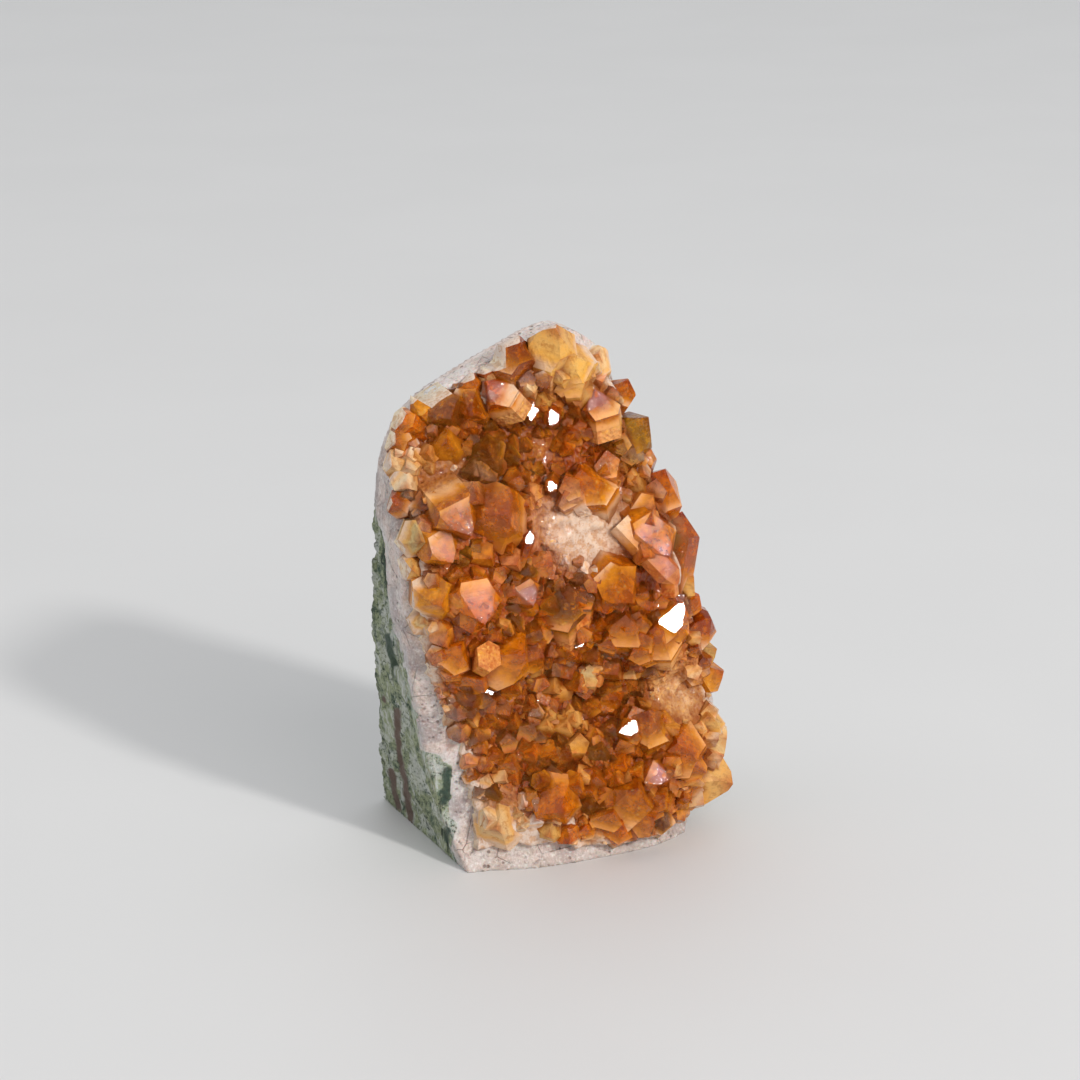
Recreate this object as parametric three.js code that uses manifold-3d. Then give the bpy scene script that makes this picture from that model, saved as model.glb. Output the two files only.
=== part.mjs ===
// A citrine cluster standing on a sawn base: a wedge of green basalt, a bed of milky quartz grown on it,
// and a crust of six-sided citrine crystals grown together on the bed. Millimetres, +Z up.
//
// The wedge is laid out as a slab. "Along" runs level across the slab's face, "up" is the height above the
// base, and "out" is the distance out of the face. The crystals are laid out on a sight plane in front of
// the cluster, with "across" to the right and "rise" up the plane, and are dropped back onto the bed.
import * as THREE from "three";
import { ConvexGeometry } from "three/addons/geometries/ConvexGeometry.js";
import { mergeVertices } from "three/addons/utils/BufferGeometryUtils.js";
import Module from "manifold-3d";

const wasm = await Module();
wasm.setup();

// Driving dimensions.
const FACE_TURN = THREE.MathUtils.degToRad(26); // the face looks this far to the right of -Y
const SIGHT_TILT = THREE.MathUtils.degToRad(18); // the sight plane leans back this far from upright
const RHOMB_TILT = THREE.MathUtils.degToRad(51.8); // quartz: end face's normal to the crystal's axis
const SLIGHT = 2.5; // a crystal of less girth than this has no narrow end faces
const ROOT = 2; // a crystal's root below its foot, and the share of its girth added to it
const ROOT_SHARE = 0.6;
const UNEVEN = 0.12; // share of the girth by which the side faces differ
const GAP = 0.3; // clearance between two touching solids
const CRUST = 1.5; // thickness of the crust that joins the crystals
const CRUST_REACH = 0.93; // share of the outline that the crust covers
const BARE = { up: 24, height: 11, width: 0.16 }; // bare quartz at the lower left: where, and what share
const BED_SPREAD = 1.25; // share of the outline within which the crystals end at the bed
const BED_DEEP = 30; // more than any crystal's root reaches into the bed
const OVERHANG = { right: 16, top: 3, topFrom: 97 }; // how far crystals stand past the outline, and where
const SPAN = 100; // more than the specimen's reach from the origin
const HALVINGS = 40; // steps that close in on the bed along a sight line
const FACE_LEAN = 0.09; // how much further back the face is per millimetre of height
const ROUNDING = 5; // how far the face falls back at its rim
const ROUND_ABOVE = 12; // the rim is rounded in full from this height up, and square at the base
const SEAM_DEPTH = 12; // the basalt begins this far back at the base
const SEAM_LEAN = 0.065; // how much further back per millimetre of height
const BASE_CLEAR = 0.4; // the crystals end this far above the base
const BASE_SPLIT = 6; // spans along the straight sawn base
const RIM_SPLIT = 32; // spans round the rest of the outline
const RINGS = [0.3, 0.55, 0.76, 0.9, 1]; // rings of the faces, as shares of the outline
const HEART = new THREE.Vector2(4, 46); // the outline is scaled about this point
const CENTRE = new THREE.Vector3(0.12, -20.9, 0); // brings the box's middle to the origin

// Outline of the slab, (along, up), from the base's right end over the peak to the base's left end.
const OUTLINE = [
  [30.5, 0], [34, 5], [37, 11], [38.5, 18], [38.4, 26], [37, 33], [34.4, 40], [31.6, 47], [28.8, 55],
  [27.4, 64], [25.4, 71], [23, 77], [20.6, 81.4], [19.6, 86], [18.4, 91.4], [16, 96.6], [11.6, 100.2],
  [7.4, 101.6], [2.6, 100.6], [-3, 98.4], [-8.4, 96], [-13.8, 93.6], [-18.8, 91], [-23, 87.2],
  [-25.8, 81.8], [-27, 75.4], [-27.4, 66], [-26.8, 51], [-25, 38], [-22.2, 25], [-18.8, 11], [-16, 0],
].map(([along, up]) => new THREE.Vector2(along, up));

// Swells (+) and hollows (-) of the crystal-bearing face: middle (along, up), depth, spread (along, up).
const SWELLS = [
  { middle: [-17, 57], depth: 4, spread: [10, 12] }, // left shoulder
  { middle: [-1, 31], depth: -5, spread: [11, 10] }, // hollow at the heart of the face
  { middle: [21, 50], depth: 3.5, spread: [9, 10] }, // right shoulder
  { middle: [19, 13], depth: 2, spread: [11, 7] }, // lower lip
  { middle: [-11, 84], depth: -3.5, spread: [12, 6] }, // recess under the crown
  { middle: [4, 97], depth: 2, spread: [9, 5] }, // crown
  { middle: [24, 30], depth: -4, spread: [11, 3.5] }, // valley across the right side
  { middle: [6, 65], depth: 2, spread: [7, 6] }, // milky ledge
  { middle: [-16, 10], depth: -5, spread: [7, 18] }, // bevel at the lower left
  { middle: [34, 4], depth: -5, spread: [6, 8] }, // bevel at the lower right
];

// Depth of the basalt's back, (up, out), from the base to the peak.
const BACK = [
  [0, -45.5], [12, -40], [25, -33.5], [38, -28], [50, -24], [65, -21.5], [80, -20.4], [102, -20.2],
];

// The crystals. foot and tip are (across, rise) on the sight plane; near is how far the tip stands nearer
// than the foot, girth the distance from the axis to the side faces, turn the roll about the axis in degrees.
const CRYSTALS = [
  // Crown.
  { foot: [-9, 95.5], tip: [-7.4, 99.6], near: 4, girth: 3, turn: 10 },
  { foot: [-12, 94], tip: [-12.6, 96], near: 3, girth: 1.7, turn: 40 },
  { foot: [-1.2, 98], tip: [-0.6, 101.6], near: 4, girth: 4.4, turn: 5 },
  { foot: [2.6, 93.5], tip: [1.8, 96.4], near: 5, girth: 4.3, turn: 30 },
  { foot: [7.4, 95], tip: [8, 96.6], near: 3, girth: 2.9, turn: 12 },
  { foot: [11, 91.8], tip: [13.8, 92.2], near: 2, girth: 2.3, turn: 48 },
  { foot: [9.3, 87], tip: [9.3, 90.2], near: 6, girth: 4.2, turn: 2 },
  { foot: [-15.4, 90], tip: [-16, 92.5], near: 3, girth: 1.8, turn: 22 },
  { foot: [-12, 91.5], tip: [-11.6, 92.6], near: 3, girth: 2, turn: 5 },
  { foot: [-8.2, 88], tip: [-8.6, 89.6], near: 6.5, girth: 4.3, turn: 34 },
  { foot: [-21, 86.4], tip: [-18.8, 84.2], near: 5, girth: 3.3, turn: 16 },
  { foot: [-16.2, 87], tip: [-14.6, 84.8], near: 5, girth: 2.9, turn: 44 },
  { foot: [-17.6, 88.6], tip: [-17.7, 90], near: 2.5, girth: 1.3, turn: 0 },
  { foot: [-28, 84], tip: [-28.4, 84.3], near: 3, girth: 2.1, turn: 25 },
  { foot: [-25, 84.6], tip: [-24.6, 85], near: 3, girth: 1.9, turn: 55 },
  { foot: [-28.4, 80.2], tip: [-28.2, 79.6], near: 3, girth: 2.2, turn: 8 },
  { foot: [-24.8, 81.6], tip: [-24.4, 81], near: 3, girth: 1.7, turn: 20 },
  { foot: [-20.4, 79.4], tip: [-19.4, 79.8], near: 5, girth: 3.6, turn: 31 },
  { foot: [-12.9, 77.2], tip: [-12.2, 78.6], near: 5.5, girth: 3.7, turn: 3 },
  { foot: [-16.6, 82.2], tip: [-16, 82.4], near: 4, girth: 1.9, turn: 38 },
  { foot: [-5.2, 85.8], tip: [-4.6, 84], near: 4, girth: 1.7, turn: 12 },
  { foot: [-0.6, 86], tip: [-1.2, 83.4], near: 5.5, girth: 2.9, turn: 27 },
  { foot: [-3, 88.2], tip: [-2.4, 87.6], near: 3.5, girth: 1.5, turn: 50 },
  { foot: [-29.2, 76.4], tip: [-27.6, 76.8], near: 3, girth: 3.6, turn: 14 },
  { foot: [-25.6, 77], tip: [-25.2, 77.4], near: 3.5, girth: 1.9, turn: 37 },
  { foot: [12.8, 83], tip: [17.4, 85], near: 4, girth: 3.1, turn: 20 },
  { foot: [8.8, 81.6], tip: [9.2, 82.6], near: 4, girth: 2.4, turn: 9 },
  { foot: [2, 82], tip: [2.4, 82.4], near: 4, girth: 2.4, turn: 46 },
  { foot: [5.4, 83], tip: [5.6, 83.2], near: 3, girth: 1.7, turn: 18 },
  // Upper middle.
  { foot: [6, 70.4], tip: [4.8, 76], near: 6.5, girth: 5.7, turn: 30 },
  { foot: [10.4, 77.4], tip: [10.6, 78.4], near: 4, girth: 2.1, turn: 4 },
  { foot: [14, 77], tip: [14.2, 78.2], near: 4, girth: 2.5, turn: 33 },
  { foot: [19, 72.6], tip: [20.4, 75.6], near: 4, girth: 4.2, turn: 11 },
  { foot: [17, 79.4], tip: [17.6, 79.9], near: 2, girth: 1.7, turn: 41 },
  { foot: [14.6, 72.6], tip: [14.8, 73.6], near: 3.5, girth: 3, turn: 6 },
  { foot: [17, 68.6], tip: [17.3, 69.4], near: 3, girth: 2.9, turn: 24 },
  { foot: [-6.6, 74], tip: [-6.4, 74.4], near: 3, girth: 2.1, turn: 52 },
  { foot: [-1.8, 71.6], tip: [-1.2, 71.2], near: 4.5, girth: 2.3, turn: 15 },
  { foot: [-4.6, 70.8], tip: [-4.8, 71.4], near: 3.5, girth: 1.6, turn: 8 },
  // Left shoulder.
  { foot: [-28.8, 69], tip: [-28.7, 69.2], near: 2, girth: 1.9, turn: 19 },
  { foot: [-24.4, 68.8], tip: [-22.6, 68.2], near: 3, girth: 2, turn: 43 },
  { foot: [-20.2, 71], tip: [-20, 71.3], near: 2.5, girth: 1.7, turn: 2 },
  { foot: [-19, 67], tip: [-15, 63], near: 6, girth: 3.7, turn: 28 },
  { foot: [-11.8, 66.6], tip: [-8.4, 66.4], near: 8, girth: 4.7, turn: 13 },
  { foot: [-6.8, 60], tip: [-4.6, 66], near: 5, girth: 2.6, turn: 36 },
  { foot: [-16.6, 60.6], tip: [-16, 60], near: 3, girth: 2.2, turn: 21 },
  { foot: [-22.4, 61.6], tip: [-18.6, 58.4], near: 5, girth: 2.9, turn: 7 },
  { foot: [-25.2, 63], tip: [-24.4, 62.2], near: 4, girth: 3.5, turn: 47 },
  { foot: [-26.2, 57.4], tip: [-25.8, 57], near: 3, girth: 2.6, turn: 17 },
  { foot: [-15.2, 54], tip: [-12.5, 47.2], near: 5.5, girth: 3.6, turn: 30 },
  { foot: [-22, 52.4], tip: [-20.6, 50.2], near: 4.5, girth: 4.4, turn: 10 },
  { foot: [-24.6, 47.6], tip: [-24, 47.4], near: 2, girth: 2.4, turn: 35 },
  { foot: [-9.8, 57.4], tip: [-9.6, 58], near: 3, girth: 1.7, turn: 1 },
  { foot: [-6.2, 56.4], tip: [-5.2, 57.6], near: 4, girth: 2.7, turn: 45 },
  { foot: [-7, 53], tip: [-3.8, 50.4], near: 5, girth: 3.1, turn: 23 },
  { foot: [-8.4, 48.4], tip: [-8, 48], near: 3.5, girth: 2.2, turn: 12 },
  { foot: [-11, 41.2], tip: [-4.8, 41.2], near: 6.5, girth: 4.8, turn: 30 },
  { foot: [-19.4, 41.4], tip: [-17.4, 43], near: 4.5, girth: 3.2, turn: 5 },
  { foot: [-17, 38.6], tip: [-16.6, 38.8], near: 3.5, girth: 2.1, turn: 49 },
  { foot: [-3, 45.6], tip: [-2.8, 46], near: 4, girth: 2.2, turn: 26 },
  { foot: [-16.8, 34.6], tip: [-15.2, 31.6], near: 4, girth: 2.4, turn: 16 },
  { foot: [-18.4, 30.4], tip: [-17.6, 30.6], near: 1.5, girth: 2.9, turn: 39 },
  // Right shoulder.
  { foot: [8, 58], tip: [13, 51.8], near: 5, girth: 4.8, turn: 29 },
  { foot: [14.6, 61.6], tip: [22, 54.4], near: 6.5, girth: 3.6, turn: 30 },
  { foot: [17.6, 62.4], tip: [20, 60.4], near: 5, girth: 4.3, turn: 9 },
  { foot: [23.2, 57.6], tip: [23.9, 67.8], near: 3, girth: 2.6, turn: 22 },
  { foot: [1.4, 48.6], tip: [0.8, 53.2], near: 5, girth: 3.5, turn: 13 },
  { foot: [4.6, 47.4], tip: [4.9, 48], near: 3, girth: 2.1, turn: 51 },
  { foot: [13.6, 44.6], tip: [14.6, 48.2], near: 6, girth: 3.6, turn: 32 },
  { foot: [21.2, 47], tip: [23.6, 49.6], near: 5, girth: 3.7, turn: 18 },
  { foot: [18, 47.6], tip: [17.9, 48], near: 3.5, girth: 1.5, turn: 3 },
  { foot: [26.2, 45.2], tip: [29.4, 48], near: 4, girth: 3.2, turn: 40 },
  { foot: [25.4, 54.2], tip: [26.4, 55.4], near: 2.5, girth: 1.9, turn: 11 },
  { foot: [26.8, 50.6], tip: [27.6, 51.6], near: 3, girth: 1.7, turn: 30 },
  { foot: [28.4, 40.4], tip: [31.2, 41.2], near: 2, girth: 1.9, turn: 22 },
  { foot: [21.6, 39.6], tip: [20.8, 43.2], near: 7, girth: 4.6, turn: 28 },
  { foot: [27.4, 39.4], tip: [28.2, 39.8], near: 4, girth: 2.2, turn: 54 },
  { foot: [29.4, 35.4], tip: [32.6, 37.2], near: 2.5, girth: 2.4, turn: 14 },
  { foot: [6.4, 37], tip: [6.5, 39], near: 3.5, girth: 2.1, turn: 30 },
  { foot: [8.6, 43], tip: [8.8, 43.4], near: 3, girth: 1.5, turn: 6 },
  { foot: [1.9, 42.8], tip: [2.1, 43.1], near: 3.5, girth: 1.8, turn: 48 },
  { foot: [10.4, 41], tip: [10.5, 41.4], near: 3, girth: 2, turn: 20 },
  { foot: [14.4, 40.2], tip: [14.2, 39.6], near: 3.5, girth: 1.9, turn: 34 },
  { foot: [6, 44.6], tip: [6.2, 45], near: 3, girth: 2.3, turn: 2 },
  { foot: [10.6, 48.4], tip: [10.8, 48.9], near: 3, girth: 2.1, turn: 43 },
  // Hollow.
  { foot: [-14.2, 28.4], tip: [-13.6, 28], near: 3, girth: 2, turn: 25 },
  { foot: [-9.6, 33.8], tip: [-9.4, 34.2], near: 3, girth: 1.7, turn: 8 },
  { foot: [-5.4, 28.8], tip: [-5, 29.2], near: 3.5, girth: 2.4, turn: 37 },
  { foot: [-1.2, 29], tip: [-1, 29.2], near: 3, girth: 1.6, turn: 53 },
  { foot: [3, 28.4], tip: [3.2, 28.6], near: 3.5, girth: 1.9, turn: 17 },
  { foot: [-4.6, 22], tip: [-4.2, 22.4], near: 3.5, girth: 2.5, turn: 4 },
  { foot: [0.6, 24], tip: [0.8, 24.3], near: 3, girth: 2.2, turn: 42 },
  { foot: [8, 21.8], tip: [9, 22.6], near: 3.5, girth: 2.5, turn: 27 },
  { foot: [-12, 15], tip: [-11.6, 15.4], near: 3, girth: 2.2, turn: 15 },
  { foot: [-12, 22], tip: [-11.6, 22.4], near: 3, girth: 2.1, turn: 50 },
  { foot: [-15.6, 18], tip: [-15.2, 18.3], near: 2, girth: 1.9, turn: 33 },
  { foot: [9.4, 33], tip: [12.6, 32.2], near: 4, girth: 2.2, turn: 9 },
  { foot: [12.2, 25.2], tip: [12.6, 25.6], near: 4, girth: 2.2, turn: 24 },
  // Lower lip.
  { foot: [-11, 7.2], tip: [-10.4, 8.4], near: 3, girth: 4.6, turn: 12 },
  { foot: [-7.2, 10.6], tip: [-7, 11.2], near: 2.5, girth: 2, turn: 46 },
  { foot: [-3.4, 15], tip: [-3, 15.6], near: 3.5, girth: 2, turn: 19 },
  { foot: [0, 13.4], tip: [1.7, 10.8], near: 6, girth: 4.3, turn: 30 },
  { foot: [6, 12.6], tip: [6.1, 12.9], near: 4, girth: 1.9, turn: 7 },
  { foot: [7, 16.8], tip: [7.8, 17.8], near: 4, girth: 2.4, turn: 38 },
  { foot: [3.2, 17], tip: [3.4, 17.5], near: 3, girth: 1.9, turn: 55 },
  { foot: [11.8, 18.8], tip: [13, 19.8], near: 4, girth: 2.2, turn: 21 },
  { foot: [12.8, 12.6], tip: [15.6, 15.4], near: 6.5, girth: 4.2, turn: 26 },
  { foot: [11, 7.4], tip: [12.4, 9.2], near: 5, girth: 2.7, turn: 5 },
  { foot: [5.4, 7.8], tip: [5.5, 8.2], near: 3.5, girth: 1.9, turn: 44 },
  { foot: [19.4, 8.4], tip: [20.2, 9.8], near: 4, girth: 2.8, turn: 16 },
  { foot: [16.6, 8.6], tip: [16.7, 8.9], near: 3.5, girth: 1.9, turn: 31 },
  { foot: [18.8, 16.4], tip: [21.8, 16.6], near: 5, girth: 2.5, turn: 30 },
  { foot: [25, 16], tip: [26.4, 17.8], near: 4.5, girth: 2.9, turn: 10 },
  { foot: [23.7, 21.8], tip: [23, 23.6], near: 6.5, girth: 4.1, turn: 29 },
  { foot: [16.8, 25.4], tip: [17.5, 30.2], near: 4.5, girth: 3.7, turn: 1 },
  { foot: [20.6, 26.4], tip: [20.7, 28.6], near: 3.5, girth: 1.7, turn: 35 },
  { foot: [30, 23.4], tip: [33.4, 24], near: 3, girth: 4.2, turn: 18 },
  { foot: [29, 26.8], tip: [29.8, 28.6], near: 4, girth: 3, turn: 40 },
  { foot: [28.4, 14.2], tip: [34.6, 14.6], near: 3, girth: 4, turn: 30 },
  { foot: [27.2, 12.4], tip: [27.8, 12.8], near: 4, girth: 1.9, turn: 3 },
  { foot: [23.2, 11.2], tip: [23.5, 11.6], near: 4, girth: 2.3, turn: 49 },
  { foot: [2.4, 4.6], tip: [2.6, 5], near: 3.5, girth: 1.8, turn: 30 },
  { foot: [-1.4, 6], tip: [-1.2, 6.5], near: 3.5, girth: 2.3, turn: 14 },
];

const ALONG = new THREE.Vector3(Math.cos(FACE_TURN), Math.sin(FACE_TURN), 0);
const OUT = new THREE.Vector3(Math.sin(FACE_TURN), -Math.cos(FACE_TURN), 0);

// A point given in the slab's own directions.
function onSlab(along, up, out) {
  return new THREE.Vector3().addScaledVector(ALONG, along).addScaledVector(OUT, out).setZ(up);
}

// A point on the sight plane, moved back from it by depth.
function onSight(across, rise, depth) {
  const [sin, cos] = [Math.sin(SIGHT_TILT), Math.cos(SIGHT_TILT)];
  return new THREE.Vector3(across, rise * sin + depth * cos, rise * cos - depth * sin);
}

// The closed ring of outline points: a smooth curve over the top, then the straight base.
function outlineRing() {
  const top = new THREE.SplineCurve(OUTLINE).getSpacedPoints(RIM_SPLIT);
  top[0].y = 0;
  top[RIM_SPLIT].y = 0;
  const base = [];
  for (let i = 1; i < BASE_SPLIT; i++) base.push(top[RIM_SPLIT].clone().lerp(top[0], i / BASE_SPLIT));
  return [...top, ...base];
}
const RING = outlineRing();

// Share of the way from the outline's heart to its rim, 1 on the rim.
function rimShare(along, up) {
  const ray = new THREE.Vector2(along, up).sub(HEART);
  for (let i = 0; i < RING.length; i++) {
    const a = RING[i].clone().sub(HEART);
    const b = RING[(i + 1) % RING.length].clone().sub(HEART);
    const turn = a.cross(b);
    const [u, v] = [ray.cross(b) / turn, a.cross(ray) / turn];
    if (u >= 0 && v >= 0) return u + v;
  }
  return 0;
}

// Share of the outline that the crust covers on the way to a point of it.
function crustReach({ x, y }) {
  const bare = x < HEART.x ? BARE.width * Math.exp(-(((y - BARE.up) / BARE.height) ** 2)) : 0;
  return CRUST_REACH - bare;
}

// How far the crystal-bearing face stands out.
function faceOut(along, up) {
  const lean = -0.5 - FACE_LEAN * up;
  const full = Math.min(1, Math.max(0, up) / ROUND_ABOVE);
  const rounding = -ROUNDING * Math.min(rimShare(along, up), 1) ** 7 * full;
  let swell = 0;
  for (const { middle, depth, spread } of SWELLS) {
    const square = ((along - middle[0]) / spread[0]) ** 2 + ((up - middle[1]) / spread[1]) ** 2;
    swell += depth * Math.exp(-square / 2);
  }
  return lean + rounding + swell;
}

// Where the milky quartz meets the basalt.
function seamOut(along, up) {
  return -SEAM_DEPTH - SEAM_LEAN * up;
}

// How far back the basalt reaches: a wedge, thick at the base.
function backOut(along, up) {
  let i = 1;
  while (i < BACK.length - 1 && up > BACK[i][0]) i++;
  const [[low, lowOut], [high, highOut]] = [BACK[i - 1], BACK[i]];
  return THREE.MathUtils.mapLinear(up, low, high, lowOut, highOut);
}

// A surface moved out by a distance.
function over(surface, distance) {
  return (along, up) => surface(along, up) + distance;
}

// A closed layer of the slab between a front and a back surface, meshed in rings, the last one its rim.
function layer(front, back, shares = RINGS, reach = () => 1) {
  const place = (share, point) => point.clone().sub(HEART).multiplyScalar(share * reach(point)).add(HEART);
  const points = [];
  const faces = [];
  const side = (surface, flip) => {
    const heart = points.length;
    points.push(onSlab(HEART.x, HEART.y, surface(HEART.x, HEART.y)));
    for (const share of shares) {
      for (const point of RING) {
        const { x, y } = place(share, point);
        points.push(onSlab(x, y, surface(x, y)));
      }
    }
    const at = (ring, i) => heart + 1 + ring * RING.length + (i % RING.length);
    const face = (a, b, c) => faces.push(...(flip ? [a, c, b] : [a, b, c]));
    for (let i = 0; i < RING.length; i++) {
      face(heart, at(0, i), at(0, i + 1));
      for (let ring = 0; ring + 1 < shares.length; ring++) {
        face(at(ring, i), at(ring + 1, i), at(ring + 1, i + 1));
        face(at(ring, i), at(ring + 1, i + 1), at(ring, i + 1));
      }
    }
    return (i) => at(shares.length - 1, i);
  };
  const frontRim = side(front, false);
  const backRim = side(back, true);
  for (let i = 0; i < RING.length; i++) {
    faces.push(frontRim(i), backRim(i), backRim(i + 1));
    faces.push(frontRim(i), backRim(i + 1), frontRim(i + 1));
  }
  const geometry = new THREE.BufferGeometry().setFromPoints(points);
  return geometry.setIndex(faces);
}

// A three.js geometry as a manifold solid, and back.
function toSolid(geometry) {
  const bare = new THREE.BufferGeometry().setAttribute("position", geometry.getAttribute("position"));
  bare.setIndex(geometry.index);
  const merged = mergeVertices(bare, 1e-4);
  const vertProperties = merged.getAttribute("position").array;
  const solid = new wasm.Manifold(
    new wasm.Mesh({ numProp: 3, vertProperties, triVerts: new Uint32Array(merged.index.array) }),
  );
  return solid;
}
function toGeometry(solid) {
  const { vertProperties, triVerts } = solid.getMesh();
  const geometry = new THREE.BufferGeometry();
  geometry.setAttribute("position", new THREE.BufferAttribute(vertProperties, 3));
  return geometry.setIndex(new THREE.BufferAttribute(triVerts, 1));
}

// The point of the bed that lies behind a point of the sight plane, drawn in to where the crust ends.
function dropOnBed(across, rise) {
  let [near, far] = [-SPAN, SPAN];
  for (let i = 0; i < HALVINGS; i++) {
    const depth = (near + far) / 2;
    const point = onSight(across, rise, depth);
    const outside = point.dot(OUT) > faceOut(point.dot(ALONG), point.z);
    if (outside) near = depth;
    else far = depth;
  }
  const hit = onSight(across, rise, near);
  const place = new THREE.Vector2(hit.dot(ALONG), hit.z);
  const drawn = Math.min(1, CRUST_REACH / rimShare(place.x, place.y));
  place.sub(HEART).multiplyScalar(drawn).add(HEART);
  return onSlab(place.x, place.y, faceOut(place.x, place.y));
}

// Corners of the convex body inside a set of planes, each plane pointing outwards.
function corners(planes) {
  const found = [];
  const cross = new THREE.Vector3();
  for (let i = 0; i < planes.length; i++)
    for (let j = i + 1; j < planes.length; j++)
      for (let k = j + 1; k < planes.length; k++) {
        const [a, b, c] = [planes[i], planes[j], planes[k]];
        const volume = a.normal.dot(cross.crossVectors(b.normal, c.normal));
        if (Math.abs(volume) < 1e-6) continue;
        const point = new THREE.Vector3()
          .addScaledVector(cross.crossVectors(b.normal, c.normal), -a.constant)
          .addScaledVector(cross.crossVectors(c.normal, a.normal), -b.constant)
          .addScaledVector(cross.crossVectors(a.normal, b.normal), -c.constant)
          .divideScalar(volume);
        if (planes.every((plane) => plane.distanceToPoint(point) < 1e-5)) found.push(point);
      }
  return found;
}

// One quartz crystal: six side faces, and three broad and three narrow end faces. Each crystal's faces are
// uneven in their own way, set by its number.
function crystal({ foot, tip, near, girth, turn }, number) {
  const footPoint = dropOnBed(...foot);
  const depth = footPoint.y * Math.cos(SIGHT_TILT) - footPoint.z * Math.sin(SIGHT_TILT);
  const axis = onSight(...tip, depth - near).sub(footPoint);
  const reach = axis.length();
  const roll = new THREE.Quaternion().setFromUnitVectors(new THREE.Vector3(0, 0, 1), axis.normalize());
  const planes = [new THREE.Plane(new THREE.Vector3(0, 0, -1), -ROOT - ROOT_SHARE * girth)];
  const [flat, steep] = [Math.cos(RHOMB_TILT), Math.sin(RHOMB_TILT)];
  for (let side = 0; side < 6; side++) {
    const angle = THREE.MathUtils.degToRad(turn + 60 * side);
    const uneven = 1 + UNEVEN * Math.sin(number * 2.7 + side * 2.1);
    const [cos, sin] = [Math.cos(angle), Math.sin(angle)];
    planes.push(new THREE.Plane(new THREE.Vector3(cos, sin, 0), -girth * uneven));
    if (side % 2 && girth < SLIGHT) continue;
    const broad = 0.05 * Math.sin(number + side * 1.3);
    const narrow = 0.16 + 0.1 * Math.sin(number * 1.9 + side);
    const end = flat * reach + (side % 2 ? narrow : broad) * girth;
    planes.push(new THREE.Plane(new THREE.Vector3(cos * steep, sin * steep, flat), -end));
  }
  return new ConvexGeometry(corners(planes)).applyQuaternion(roll).translate(...footPoint.toArray());
}

// The tool that trims the crystals: everything inside the sawn outline and above the base.
function sawnEnvelope() {
  const shape = new THREE.Shape();
  const right = (point) => (point.x > HEART.x ? OVERHANG.right : 0);
  const top = (point) => (point.y > OVERHANG.topFrom ? OVERHANG.top : 0);
  RING.forEach((point, i) => {
    const away = point.clone().sub(HEART).setLength(right(point) + top(point));
    const [along, up] = [point.x + away.x, Math.max(point.y + away.y, BASE_CLEAR)];
    if (i) shape.lineTo(along, up);
    else shape.moveTo(along, up);
  });
  const geometry = new THREE.ExtrudeGeometry(shape, { depth: 2 * SPAN, bevelEnabled: false, steps: 1 });
  const basis = new THREE.Matrix4().makeBasis(ALONG, new THREE.Vector3(0, 0, 1), OUT);
  return toSolid(geometry.translate(0, 0, -SPAN).applyMatrix4(basis));
}

// All the crystals grown together with their crust, trimmed where they meet the bed and the saw.
function druse() {
  let grown = toSolid(layer(over(faceOut, CRUST), over(faceOut, -CRUST), RINGS, crustReach));
  CRYSTALS.forEach((row, number) => {
    grown = grown.add(toSolid(crystal(row, number)));
  });
  const bed = toSolid(layer(over(faceOut, GAP), over(faceOut, -BED_DEEP), [...RINGS, BED_SPREAD]));
  return grown.subtract(bed).intersect(sawnEnvelope());
}

function piece(name, geometry, color, roughness) {
  const mesh = new THREE.Mesh(geometry, new THREE.MeshStandardMaterial({ color, roughness, metalness: 0 }));
  mesh.name = name;
  return mesh;
}

const cluster = new THREE.Group();
cluster.add(piece("citrine_crystals", toGeometry(druse()), 0xb9651c, 0.12));
cluster.add(piece("milky_quartz_bed", layer(faceOut, over(seamOut, GAP)), 0xd9c4bb, 0.45));
cluster.add(piece("green_basalt_matrix", layer(seamOut, backOut), 0x5d7a5f, 0.9));
cluster.position.copy(CENTRE);

export default cluster;
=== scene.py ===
"""A citrine cluster on a sawn base: green basalt, a bed of milky quartz and a crust of crystals."""

import math

import bmesh
import bpy
import numpy as np
from bpy.props import FloatProperty, FloatVectorProperty, IntProperty, PointerProperty
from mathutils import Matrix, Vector, noise
from mathutils.bvhtree import BVHTree


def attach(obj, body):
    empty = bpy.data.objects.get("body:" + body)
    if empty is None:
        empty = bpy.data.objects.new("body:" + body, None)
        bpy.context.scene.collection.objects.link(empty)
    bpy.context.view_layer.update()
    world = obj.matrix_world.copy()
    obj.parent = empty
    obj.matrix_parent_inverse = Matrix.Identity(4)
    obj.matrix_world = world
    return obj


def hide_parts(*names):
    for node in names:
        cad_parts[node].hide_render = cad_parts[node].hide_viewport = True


bl_info = {
    "name": "Citrine Cluster",
    "version": (1, 0, 0),
    "blender": (4, 5, 0),
    "location": "View3D > Sidebar > Citrine",
    "description": "Builds a citrine cluster on its quartz bed and basalt, with a plain stage",
    "category": "Add Mesh",
}

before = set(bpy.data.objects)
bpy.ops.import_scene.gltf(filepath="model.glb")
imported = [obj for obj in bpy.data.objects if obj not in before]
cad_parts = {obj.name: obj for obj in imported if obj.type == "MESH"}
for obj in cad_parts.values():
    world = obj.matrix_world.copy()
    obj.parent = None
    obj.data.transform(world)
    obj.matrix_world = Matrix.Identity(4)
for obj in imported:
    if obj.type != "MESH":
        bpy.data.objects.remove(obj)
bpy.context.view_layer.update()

MM = 0.001  # shapes are worked out in millimetres and go into Blender in metres
BODY = "root"
BASALT_NODE = "green_basalt_matrix"
BED_NODE = "milky_quartz_bed"
CRYSTAL_NODE = "citrine_crystals"

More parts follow.
